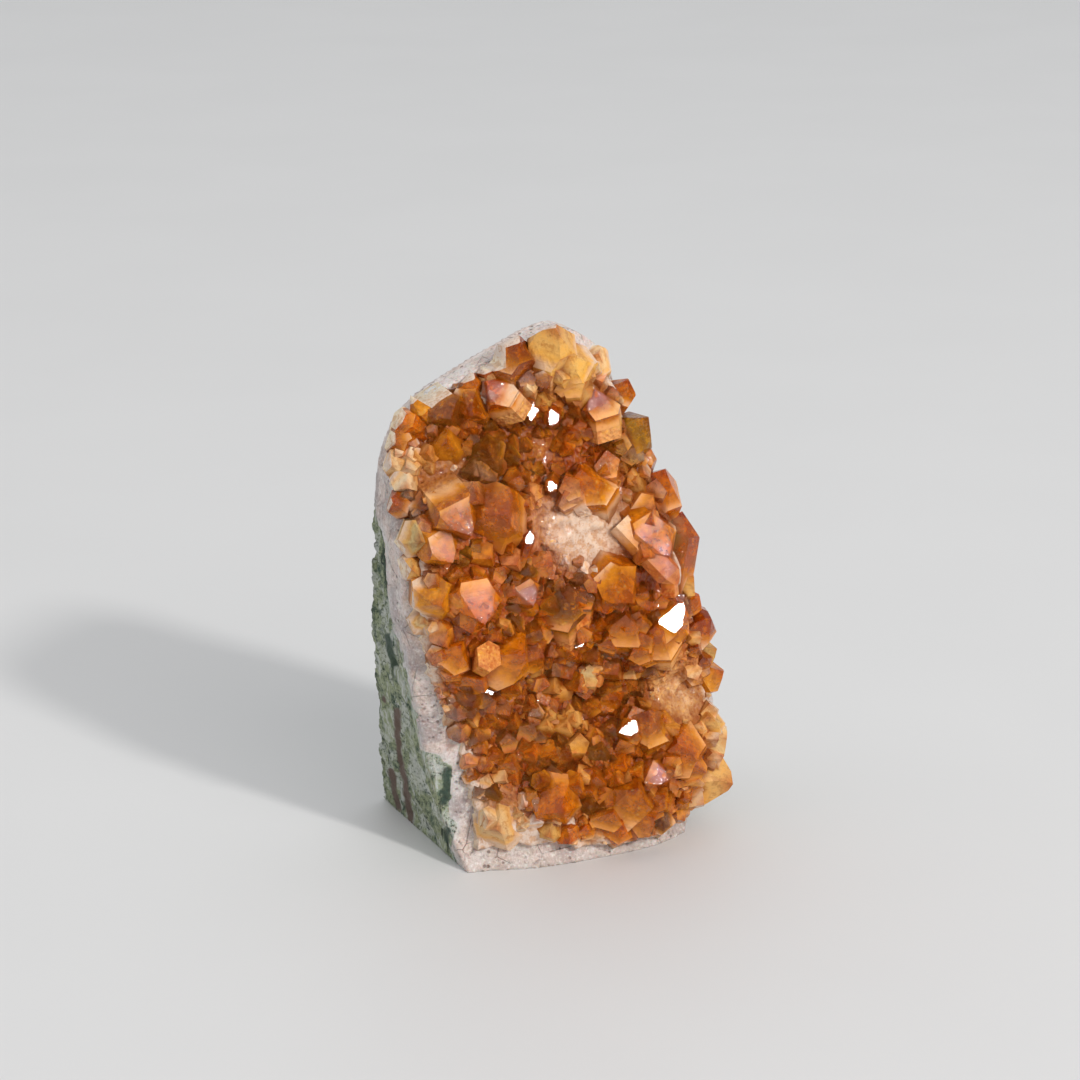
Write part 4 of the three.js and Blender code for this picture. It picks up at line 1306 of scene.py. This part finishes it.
def citrine_finish(looks):
    """Milky quartz at the foot that clears to amber at the tip, with striped sides and a few dull
    faces. Where it is clear it is see-through quartz that absorbs light on its way."""
    finish = Finish("citrine")
    place = finish.place()
    tip = finish.attribute("tip", "Color")
    foot = finish.attribute("foot", "Color")
    clear = finish.attribute("clear")
    grown = finish.attribute("grown")
    stripe = finish.attribute("stripe")
    gloss = finish.attribute("gloss")
    sunk = finish.attribute("sunk")
    veil = finish.clouds(place, VEIL_SIZE, 5, 0.65)
    haze = finish.clouds(place, HAZE_SIZE, 3, 0.5)
    grain = finish.clouds(place, GRAIN_SIZE, 4, 0.7)
    # Painted glints: golden specks in the colour, standing in for light caught inside the crystals.
    painted_glints = finish.cells(place, PAINTED_GLINT_SIZE).step(0.30, 0.12)
    painted_glints = painted_glints * haze.step(0.47, 0.57) * grain.step(0.44, 0.56)
    # From cream at the foot through gold to the deep colour of the tip, in clouds.
    ripe = grown + (haze - 0.5) * 0.5 + (veil - 0.5) * 0.5
    gold = finish.mix(0.5, tip, looks.gold)
    body = finish.mix(ripe.step(-0.15, 0.25), foot, gold)
    body = finish.mix(ripe.step(0.15, 0.50), body, tip)
    deep = finish.mix(1.0, tip, RIPE_STAIN, "MULTIPLY")
    body = finish.mix(ripe.step(0.50, 1.00) * 0.85, body, deep)
    # Golden and dark veils and grains, fainter on the crystals than on the rugged crust.
    rugged = 1 - grown.step(-0.34, -0.30)
    veined = 0.25 + 0.75 * clear.step(0.0, 0.3)
    cloudy = 0.55 + rugged * 0.45
    grained = 0.25 + rugged * 0.75
    shade = finish.mix(ripe.step(-0.1, 0.4), FOOT_STAIN, TIP_STAIN)
    gilded = finish.mix(0.6, body, looks.gold)
    body = finish.mix(veil.step(0.52, 0.66) * veined * cloudy * 0.8, body, gilded)
    body = finish.stained_or_shaded(veil.step(0.51, 0.40) * cloudy * 0.85, body, shade)
    body = finish.mix(grain.step(0.52, 0.66) * veined * grained * 0.6, body, GOLD_GRAIN)
    body = finish.stained_or_shaded(grain.step(0.48, 0.36) * grained * 0.75, body, shade)
    # The painted glints, laid into the colour.
    body = finish.mix(painted_glints * veined * cloudy * 0.7, body, PAINTED_GLINT)
    # Painted shade: darker down in the hollows between the crystals.
    body = finish.stained_or_shaded(sunk.step(0.5, -1.0) * clear.step(0.0, 0.25) * 0.9, body, PAINTED_HOLLOW_SHADE)
    # Growth stripes, then fine relief, then the small breaks that sparkle.
    sockets = {"W": stripe * STRIPES_PER_MM, "Scale": 1.0, "Detail": 3.0, "Roughness": 0.6}
    lines = finish.node("ShaderNodeTexNoise", {"noise_dimensions": "1D"}, **sockets)
    relief = finish.bump(lines, 0.15, FINE_RELIEF)
    uneven = (grain + veil * 0.6) * (0.7 + rugged * 3.2)
    relief = finish.bump(uneven, 0.18, FINE_RELIEF, relief)
    broken = rugged * clear.step(0.1, 0.3) + haze.step(0.52, 0.60) * 0.4
    sparkle = finish.cells(place, SPARKLE_SIZE) * broken.clipped()
    relief = finish.bump(sparkle, 0.8, SPARKLE_RELIEF, relief)
    rough = 0.03 + gloss**5 * 0.25 + grain.step(0.55, 0.8) * 0.08
    milky = finish.shader(
        Base_Color=body,
        Roughness=rough + 0.04,
        IOR=QUARTZ_IOR,
        Specular_IOR_Level=0.0,
        Coat_Weight=0.6 - gloss.step(0.5, 0.9) * 0.45,
        Coat_Roughness=POLISH_ROUGHNESS,
        Coat_IOR=POLISH_IOR,
        Normal=relief,
    )
    glassy = finish.shader(
        Base_Color=finish.mix(0.7, body, CLEAR_TINT),
        Roughness=rough * 0.6,
        IOR=QUARTZ_IOR,
        Transmission_Weight=1.0,
        Normal=relief,
    )
    share = clear * (0.8 - rugged * 0.3) * ripe.step(-0.1, 0.4)
    share = share * (1.0 - veil.step(0.45, 0.7) * 0.5)
    surface = finish.node("ShaderNodeMixShader", {}, share.clipped(), milky, glassy)
    sockets = {"Color": looks.amber, "Density": looks.amber_depth}
    volume = finish.node("ShaderNodeVolumeAbsorption", {}, **sockets)
    return finish.finish_with(surface, volume)


# ---- The stone -------------------------------------------------------------------------------


WALL_ENDS = -8  # the left wall's marks end this far along
FAR_OUTSIDE = -20.0  # the depth of a place that no mark reaches
FREE_HEIGHTS = (0.2, 1.5)  # relief starts over these heights, so that the base stays flat
BASE_BAND = 0.25  # what lies under this height and looks down more than this is the flat base
BASE_DOWN = -0.7
LOW_HEIGHTS = (7.0, 1.0)  # the foot turns darker from the first height down to the second

# Noise of the stones' relief: the size of its lumps, octaves and seed. Ridges and ribs are drawn
# long by their sizes along the slab, up and out.
RIDGE_SIZES = (1.6, 6, 1.6)
RIDGES = (1.0, 3, 11)
RIB_SIZES = (3, 8, 3)
RIBS = (1.0, 3, 67)
BACK_LUMPS = (5.5, 4, 23)
BASALT_FINE = (0.9, 3, 31)
BASALT_PITS = (2.4, 2, 47)
QUARTZ_SWELL = (7, 2, 5)
QUARTZ_FINE = (0.8, 3, 61)
QUARTZ_PITS = (1.5, 2, 71)
EDGE_WANDER = (2.0, 3, 83)

# Sizes in the stones' finish, in metres, and how far its upright noise is drawn out.
CLOUD_SIZE = 0.005
BLOTCH_SIZE = 0.009
GRIT_SIZE = 0.0006
STREWN_SIZE = 0.004
SPECK_SIZE = 0.0012
CRACK_SIZE = 0.007
STAIN_SIZE = 0.0035
MOTTLE_SIZE = 0.0026
FLECK_SIZE = 0.0006
FIBRE_SIZE = 0.0007
VEIN_SIZE = 0.0028
BLEACH_SIZE = 0.006
LONG_FIBRES = (1.0, 1.0, 0.22)
LONG_VEINS = (1.0, 1.0, 0.25)

# Colours of the stones' stains, darker foot, grit, flecks, streaks, and how their surface takes
# light.
RUST_STAIN = (0.56, 0.38, 0.30)
FOOT_DARKENING = (0.46, 0.37, 0.32)
WHITE_GRIT = (0.90, 0.87, 0.85)
DARK_GRIT = (0.33, 0.25, 0.22)
CRACK_FILL = (0.14, 0.09, 0.07)
PALE_FLECK = (0.44, 0.47, 0.34)
DARK_FLECK = (0.030, 0.048, 0.036)
GASH = (0.030, 0.045, 0.035)
DARK_STREAK = (0.02, 0.04, 0.03)
DARK_BROWN = (0.10, 0.07, 0.05)
SEAM_GREY = (0.52, 0.56, 0.56)
STONE_IOR = 1.54
STONE_RELIEF = 0.0005
GLOW_DEPTH = 0.002
QUARTZ_GLOW = 0.25
BASALT_GLOW = 0.0


def rind_depth(points):
    """How deep in green basalt a place lies, in millimetres; below nothing it lies in quartz."""
    along, up, out = slab_place(points)
    across, rise = sight_place(points)
    edges, rises = np.array(RIND).T
    left = np.interp(rise, rises, edges) - across
    left = np.where(along < WALL_ENDS, left, FAR_OUTSIDE)
    hidden = seam_out(along, up) - out - SEAM_DIP * smooth_step(*DIP_HEIGHTS, up)
    return np.maximum(left, hidden)


def streak_depth(points, streaks):
    """How deep inside any of some streaks of the left wall a place lies, in millimetres."""
    place = np.stack(sight_place(points), axis=-1)
    deepest = np.full(len(points), FAR_OUTSIDE)
    for width, *stops in streaks:
        stops = [np.array(stop, float) for stop in stops]
        for start, end in zip(stops, stops[1:]):
            run = end - start
            share = np.clip((place - start) @ run / (run @ run), 0, 1)
            gap = np.linalg.norm(place - start - share[:, None] * run, axis=1)
            deepest = np.maximum(deepest, width - gap)
    return np.where(slab_place(points)[0] < WALL_ENDS, deepest, FAR_OUTSIDE)


def stretched(points, across, up, out):
    """Points scaled along the slab's directions, so that noise on them comes out drawn long."""
    a, u, o = slab_place(points)
    return np.stack((a / across, u / up, o / out), axis=-1)


def roughen(piece, relief):
    """Moves a block's surface in and out by a relief in millimetres, and keeps its base flat."""
    mesh = piece.data
    points = mesh_points(mesh)
    normals = mesh_normals(mesh)
    free = smooth_step(*FREE_HEIGHTS, points[:, 2])
    moved = points + normals * (relief(points, normals) * free)[:, None]
    moved[:, 2] = np.maximum(moved[:, 2], 0)
    on_base = (points[:, 2] < BASE_BAND) & (normals[:, 2] < BASE_DOWN)
    moved[on_base, 2] = 0
    set_points(mesh, moved)


def basalt_relief(points, normals):
    """Upright ridges, lumps and pits, deeper on the broken back than on the left wall."""
    ridges = roughness_field(stretched(points, *RIDGE_SIZES), *RIDGES)
    ribs = roughness_field(stretched(points, *RIB_SIZES), *RIBS)
    lumps = roughness_field(points, *BACK_LUMPS)
    fine = roughness_field(points, *BASALT_FINE)
    behind = smooth_step(0.2, 0.8, -(normals @ OUT))
    pits = smooth_step(0.45, 0.8, roughness_field(points, *BASALT_PITS))
    rough = smooth_step(-1.5, 1.5, rind_depth(points))
    wall = 0.34 * ridges + 1.0 * ribs + 0.2 * fine - 0.45 * pits - 0.45
    back = 0.75 * lumps + 0.28 * fine - 0.8 * pits - 0.3
    return (wall * (1 - behind) + back * behind) * (0.25 + 0.75 * rough)


def quartz_relief(points, normals):
    """A sawn, part-polished wall with pits and small breaks."""
    swell = roughness_field(points, *QUARTZ_SWELL)
    fine = roughness_field(points, *QUARTZ_FINE)
    pits = smooth_step(0.5, 0.8, roughness_field(points, *QUARTZ_PITS))
    green = smooth_step(-0.5, 1.0, rind_depth(points))
    ridges = roughness_field(stretched(points, *RIDGE_SIZES), *RIDGES)
    front = smooth_step(0.4, 0.8, normals @ OUT)
    polished = 0.12 * swell + 0.03 * fine - 0.25 * pits - 0.03
    broken = 0.3 * ridges + 0.1 * fine - 0.15
    return polished * (1 - green) + broken * green + 0.12 * fine * front


def stone_values(piece):
    """Writes where a block is green, brown, white or dark, and how near its foot."""
    points = mesh_points(piece.data)
    wander = roughness_field(points, *EDGE_WANDER) * 0.7
    write_values(
        piece.data,
        "POINT",
        rind=rind_depth(points) + wander,
        brown=streak_depth(points, BROWN_SEAMS) + wander * 0.6,
        pale=streak_depth(points, PALE_PATCHES) + wander * 0.7,
        dark=streak_depth(points, DARK_STREAKS) + wander * 0.5,
        low=smooth_step(*LOW_HEIGHTS, points[:, 2] + wander * 2.0),
    )


def white_quartz(finish, place, looks):
    """White quartz's colour, height and grit: milky, with blush patches, stains and cracks."""
    cloud = finish.clouds(place, CLOUD_SIZE, 5, 0.55)
    blotch = finish.clouds(place, BLOTCH_SIZE, 4, 0.6)
    grit = finish.clouds(place, GRIT_SIZE, 4, 0.7)
    strewn = finish.clouds(place, STREWN_SIZE, 3).step(0.46, 0.60)
    speck = finish.cells(place, SPECK_SIZE).step(0.36, 0.14) * strewn
    crack = finish.cells(place, CRACK_SIZE, "DISTANCE_TO_EDGE").step(0.016, 0.0)
    crack = crack * cloud.step(0.45, 0.6)
    stain = finish.clouds(place, STAIN_SIZE, 6, 0.7).step(0.52, 0.66)
    colour = finish.mix(cloud.step(0.35, 0.65), looks.quartz, looks.blush)
    colour = finish.mix(blotch.step(0.48, 0.62) * 0.9, colour, looks.smoke)
    colour = finish.mix(stain * 0.6, colour, RUST_STAIN)
    # Darker towards the base, over the lowest few millimetres.
    colour = finish.mix(finish.attribute("low") * 0.5, colour, FOOT_DARKENING)
    colour = finish.mix(grit.step(0.50, 0.68) * 0.5, colour, WHITE_GRIT)
    colour = finish.mix(grit.step(0.47, 0.35) * 0.7, colour, DARK_GRIT)
    colour = finish.mix((speck * 0.8 + crack * 0.6).clipped(), colour, CRACK_FILL)
    height = grit * 0.25 + cloud * 0.3 - speck * 0.6 - crack * 0.5
    return colour, height, grit


def green_basalt(finish, place, looks, grit):
    """Basalt's colour, height and mottle: sage over dark green, with upright veins and seams."""
    mottle = finish.clouds(place, MOTTLE_SIZE, 6, 0.7)
    fleck = finish.clouds(place, FLECK_SIZE, 4, 0.75)
    fibres = finish.clouds(finish.vector("MULTIPLY", place, LONG_FIBRES), FIBRE_SIZE, 5, 0.7)
    broad = finish.clouds(finish.vector("MULTIPLY", place, LONG_VEINS), VEIN_SIZE, 4, 0.6)
    colour = finish.mix(mottle.step(0.36, 0.56), looks.dark_green, looks.sage)
    colour = finish.mix(fleck.step(0.50, 0.66) * 0.75, colour, PALE_FLECK)
    colour = finish.mix(fleck.step(0.47, 0.36) * 0.85, colour, DARK_FLECK)
    vein = broad.step(0.52, 0.60) * fibres.step(0.42, 0.56)
    bleached = finish.clouds(place, BLEACH_SIZE, 4, 0.6).step(0.52, 0.62) * grit.step(0.35, 0.55)
    colour = finish.mix(bleached * 0.75, colour, looks.vein)
    colour = finish.mix(vein * 0.85, colour, looks.vein)
    gash = broad.step(0.44, 0.36) * fibres.step(0.52, 0.44)
    colour = finish.mix(gash * 0.9, colour, GASH)
    # The streaks, seams and patches that are listed for the left wall.
    streak = finish.mix(fleck, DARK_STREAK, looks.dark_green)
    seam = finish.mix(fleck, looks.brown, DARK_BROWN)
    patch = finish.mix(fibres.step(0.4, 0.6), looks.sage, looks.vein)
    colour = finish.mix(finish.attribute("dark").step(-0.3, 0.3) * 0.9, colour, streak)
    colour = finish.mix(finish.attribute("brown").step(-0.25, 0.35), colour, seam)
    colour = finish.mix(finish.attribute("pale").step(-0.3, 0.4) * 0.9, colour, patch)
    height = (mottle + fleck * 0.6 + fibres) * 1.3
    return colour, height, mottle


def rock_finish(name, looks, glow):
    """White quartz and green basalt, each where the block's values say."""
    finish = Finish(name)
    place = finish.place()
    rind = finish.attribute("rind")
    quartz, quartz_height, grit = white_quartz(finish, place, looks)
    basalt, basalt_height, mottle = green_basalt(finish, place, looks, grit)
    is_green = rind.step(-0.12, 0.12)
    is_white = 1 - is_green
    edge = rind.step(-1.6, -0.2) * is_white
    quartz = finish.mix(edge * 0.35, quartz, SEAM_GREY)
    height = quartz_height * is_white + basalt_height * is_green
    stone = finish.shader(
        Base_Color=finish.mix(is_green, quartz, basalt),
        Roughness=(0.34 + grit * 0.25) * is_white + (0.72 + mottle * 0.2) * is_green,
        IOR=STONE_IOR,
        Subsurface_Weight=glow,
        Subsurface_Scale=GLOW_DEPTH,
        Normal=finish.bump(height, 0.7, STONE_RELIEF),
    )
    return finish.finish_with(stone)


def stone_block(name, front, back, slot, node, grain):
    """A closed block of the slab in fine even faces, for its plain node."""
    points, faces = layer_mesh(front, back, np.linspace(FIRST_RING, 1, STONE_RINGS))
    piece = new_piece(name, points, faces, slot, node)
    apply_modifier(piece, "TRIANGULATE")
    apply_modifier(piece, "REMESH", mode="VOXEL", voxel_size=grain * MM, use_smooth_shade=True)
    return piece


def dress_stone(piece, relief, finish):
    """Gives a plain block its relief, the values that its finish reads, and its finish."""
    roughen(piece, relief)
    stone_values(piece)
    piece.data.materials.append(finish)


# ---- The stage -------------------------------------------------------------------------------


def lay_floor(stage):
    """A wide plain floor."""
    half = FLOOR_HALF / MM
    corners = ((-half, -half, 0), (half, -half, 0), (half, half, 0), (-half, half, 0))
    floor = new_piece("floor", corners, [(0, 1, 2, 3)], None)
    finish = Finish("floor")
    place = finish.place()
    cloud = finish.clouds(place, FLOOR_CLOUD_SIZE, 3)
    grain = finish.clouds(place, FLOOR_GRAIN_SIZE, 3, 0.6)
    clouded = tuple(FLOOR_CLOUDED * part for part in stage.floor)
    surface = finish.shader(
        Base_Color=finish.mix(cloud.step(0.3, 0.7), clouded, stage.floor),
        Roughness=0.55 + grain * 0.1,
        Normal=finish.bump(grain, 0.05, FLOOR_RELIEF),
    )
    floor.data.materials.append(finish.finish_with(surface))


def hang_lamp(scene, name, towards, width, brightness, colour):
    """A round lamp that faces the cluster, its brightness in W per square metre and steradian."""
    lamp = bpy.data.lights.new(name, "AREA")
    lamp.shape = "DISK"
    lamp.size = width
    lamp.energy = brightness * math.pi * math.pi * width**2 / 4
    lamp.color = colour
    hung = bpy.data.objects.new(name, lamp)
    hung.location = LAMP_AIM + towards * LAMP_FAR
    hung.rotation_euler = towards.to_track_quat("Z", "Y").to_euler()
    scene.collection.objects.link(hung)


def light_room(scene, stage):
    """A pale room, brightest behind and above, and dimmer in front."""
    room = Finish("room", is_room=True)
    towards = room.node("ShaderNodeTexCoord", {}, out="Generated")
    facing = room.vector("DOT_PRODUCT", towards, BRIGHT_FROM, out="Value")
    strength = stage.dim + (stage.surround - stage.dim) * facing.step(*DIM_TO_BRIGHT)
    scene.world = room.finish_with(room.node("ShaderNodeBackground", {}, ROOM_COLOUR, strength))
    scene.view_settings.view_transform = "Standard"


def place_camera(scene):
    """A long lens, square to the sight plane."""
    lens = bpy.data.cameras.new("camera")
    lens.lens = CAMERA_LENS
    lens.sensor_width = CAMERA_SENSOR
    camera = bpy.data.objects.new("camera", lens)
    camera.location = CAMERA_PLACE
    camera.rotation_euler = (math.pi / 2 - SIGHT_TILT, 0, 0)
    scene.collection.objects.link(camera)
    scene.camera = camera


# ---- What a user sets ------------------------------------------------------------------------


def colour_setting(name, description, default):
    """A colour that a user can set."""
    return FloatVectorProperty(
        name=name,
        description=description,
        default=default,
        subtype="COLOR",
        size=3,
        min=0.0,
        max=1.0,
    )


def strength_setting(name, description, default):
    """A number from 0 up that a user can set."""
    return FloatProperty(name=name, description=description, default=default, min=0.0)


class CitrineSizes(bpy.types.PropertyGroup):
    """Sizes of the crystals and of the stone's grain."""

    seed: IntProperty(
        name="Seed",
        description="Picks another growth of small crystals",
        default=3,
        min=0,
    )
    tries: IntProperty(
        name="Tries",
        description="How often a small crystal is tried on the bed",
        default=14000,
        min=0,
    )
    small_girth: FloatProperty(
        name="Small Crystals",
        description="Scales the girth of the small crystals",
        default=1.0,
        min=0.5,
        max=2.0,
    )
    quartz_grain: FloatProperty(
        name="Quartz Grain",
        description="Face size of the quartz bed, in millimetres",
        default=0.5,
        min=0.3,
    )
    basalt_grain: FloatProperty(
        name="Basalt Grain",
        description="Face size of the basalt, in millimetres",
        default=0.55,
        min=0.3,
    )


class CitrineLooks(bpy.types.PropertyGroup):
    """Colours of the cluster."""

    amber: colour_setting("Amber", "Colour that clear citrine takes with depth", (0.86, 0.66, 0.02))
    amber_depth: strength_setting("Amber Depth", "How strongly it takes that colour", 280.0)
    gold: colour_setting("Gold", "Colour of thinly coloured citrine", (0.86, 0.36, 0.018))
    quartz: colour_setting("White Quartz", "Milky quartz", (0.68, 0.61, 0.58))
    blush: colour_setting("Blush", "Pink clouds in the milky quartz", (0.63, 0.50, 0.44))
    smoke: colour_setting("Smoke", "Grey-brown patches in the milky quartz", (0.40, 0.33, 0.32))
    sage: colour_setting("Sage", "Main green of the basalt", (0.30, 0.34, 0.20))
    dark_green: colour_setting("Dark Green", "Dark green of the basalt", (0.055, 0.095, 0.065))
    vein: colour_setting("Vein", "Upright white veins in the basalt", (0.60, 0.62, 0.58))
    brown: colour_setting("Brown", "Brown seam of the basalt", (0.20, 0.135, 0.11))


class CitrineStage(bpy.types.PropertyGroup):
    """Floor and light round the cluster."""

    floor: colour_setting("Floor", "Colour of the plain floor", (0.70, 0.70, 0.70))
    key_power: strength_setting("Key Lamp", "Brightness of the hard lamp", 235.0)
    soft_power: strength_setting("Soft Lamp", "Brightness of the broad lamp", 2.0)
    surround: strength_setting("Room", "Brightness of the room's bright side", 0.78)
    dim: strength_setting("Dim Side", "Brightness of the room's dim side", 0.12)


# ---- Operators -------------------------------------------------------------------------------


class CITRINE_OT_basalt(bpy.types.Operator):
    """Builds the green basalt that the cluster grew on"""

    bl_idname = "citrine.basalt"
    bl_label = "Green Basalt"
    bl_options = {"REGISTER", "UNDO"}

    def execute(self, context):
        front = lifted(seam_out, SEAM_GAP)
        grain = context.scene.citrine_sizes.basalt_grain
        piece = stone_block("basalt_matrix", front, back_out, "green_basalt", BASALT_NODE, grain)
        finish = rock_finish("green_basalt", context.scene.citrine_looks, BASALT_GLOW)
        dress_stone(piece, basalt_relief, finish)
        return {"FINISHED"}


class CITRINE_OT_quartz(bpy.types.Operator):
    """Builds the bed of milky quartz between the basalt and the crystals"""

    bl_idname = "citrine.quartz"
    bl_label = "Milky Quartz Bed"
    bl_options = {"REGISTER", "UNDO"}

    def execute(self, context):
        back = lifted(seam_out, -SEAM_GAP)
        grain = context.scene.citrine_sizes.quartz_grain
        piece = stone_block("quartz_bed", face_out, back, "milky_quartz", BED_NODE, grain)
        finish = rock_finish("milky_quartz", context.scene.citrine_looks, QUARTZ_GLOW)
        dress_stone(piece, quartz_relief, finish)
        return {"FINISHED"}


class CITRINE_OT_crystals(bpy.types.Operator):
    """Grows the citrine crystals out of the bed"""

    bl_idname = "citrine.crystals"
    bl_label = "Citrine Crystals"
    bl_options = {"REGISTER", "UNDO"}

    def execute(self, context):
        sizes = context.scene.citrine_sizes
        larger = listed_crystals()
        crust = Crust(larger)
        smaller = companions(larger, crust, sizes) + small_crystals(crust, len(larger), sizes)
        crystals = larger + smaller
        points, faces = crust.layer()
        ground = new_piece("crust", points, faces, "citrine", CRYSTAL_NODE)
        piece = grow_together("citrine_druse", crystals, ground)
        trim_to_slab(piece)
        drop_bubbles(piece)
        colour_crystals(piece.data, crystals, len(larger), sizes)
        piece.data.materials.clear()
        piece.data.materials.append(citrine_finish(context.scene.citrine_looks))
        return {"FINISHED"}


class CITRINE_OT_stage(bpy.types.Operator):
    """Sets out the floor, the lamps and the camera"""

    bl_idname = "citrine.stage"
    bl_label = "Stage"
    bl_options = {"REGISTER", "UNDO"}

    def execute(self, context):
        scene, stage = context.scene, context.scene.citrine_stage
        lay_floor(stage)
        hang_lamp(scene, "key_lamp", LAMP_FROM, KEY_WIDTH, stage.key_power, KEY_COLOUR)
        hang_lamp(scene, "soft_lamp", SOFT_FROM, SOFT_WIDTH, stage.soft_power, SOFT_COLOUR)
        light_room(scene, stage)
        place_camera(scene)
        return {"FINISHED"}


class CITRINE_PT_cluster(bpy.types.Panel):
    """Lists the pieces and the stage"""

    bl_idname = "CITRINE_PT_cluster"
    bl_label = "Citrine Cluster"
    bl_space_type = "VIEW_3D"
    bl_region_type = "UI"
    bl_category = "Citrine"

    def draw(self, context):
        layout, scene = self.layout, context.scene
        for group in (scene.citrine_sizes, scene.citrine_looks, scene.citrine_stage):
            box = layout.box()
            for name in group.bl_rna.properties.keys():
                if name not in ("rna_type", "name"):
                    box.prop(group, name)
        for operator in OPERATORS:
            layout.operator(operator.bl_idname)


OPERATORS = (CITRINE_OT_basalt, CITRINE_OT_quartz, CITRINE_OT_crystals, CITRINE_OT_stage)
GROUPS = (CitrineSizes, CitrineLooks, CitrineStage)


def register():
    for kind in (*GROUPS, *OPERATORS, CITRINE_PT_cluster):
        bpy.utils.register_class(kind)
    bpy.types.Scene.citrine_sizes = PointerProperty(type=CitrineSizes)
    bpy.types.Scene.citrine_looks = PointerProperty(type=CitrineLooks)
    bpy.types.Scene.citrine_stage = PointerProperty(type=CitrineStage)


def unregister():
    del bpy.types.Scene.citrine_stage
    del bpy.types.Scene.citrine_looks
    del bpy.types.Scene.citrine_sizes
    for kind in (CITRINE_PT_cluster, *reversed(OPERATORS), *reversed(GROUPS)):
        bpy.utils.unregister_class(kind)


def main():
    register()
    bpy.ops.citrine.basalt()
    bpy.ops.citrine.quartz()
    bpy.ops.citrine.crystals()
    bpy.ops.citrine.stage()


if __name__ == "__main__":
    main()
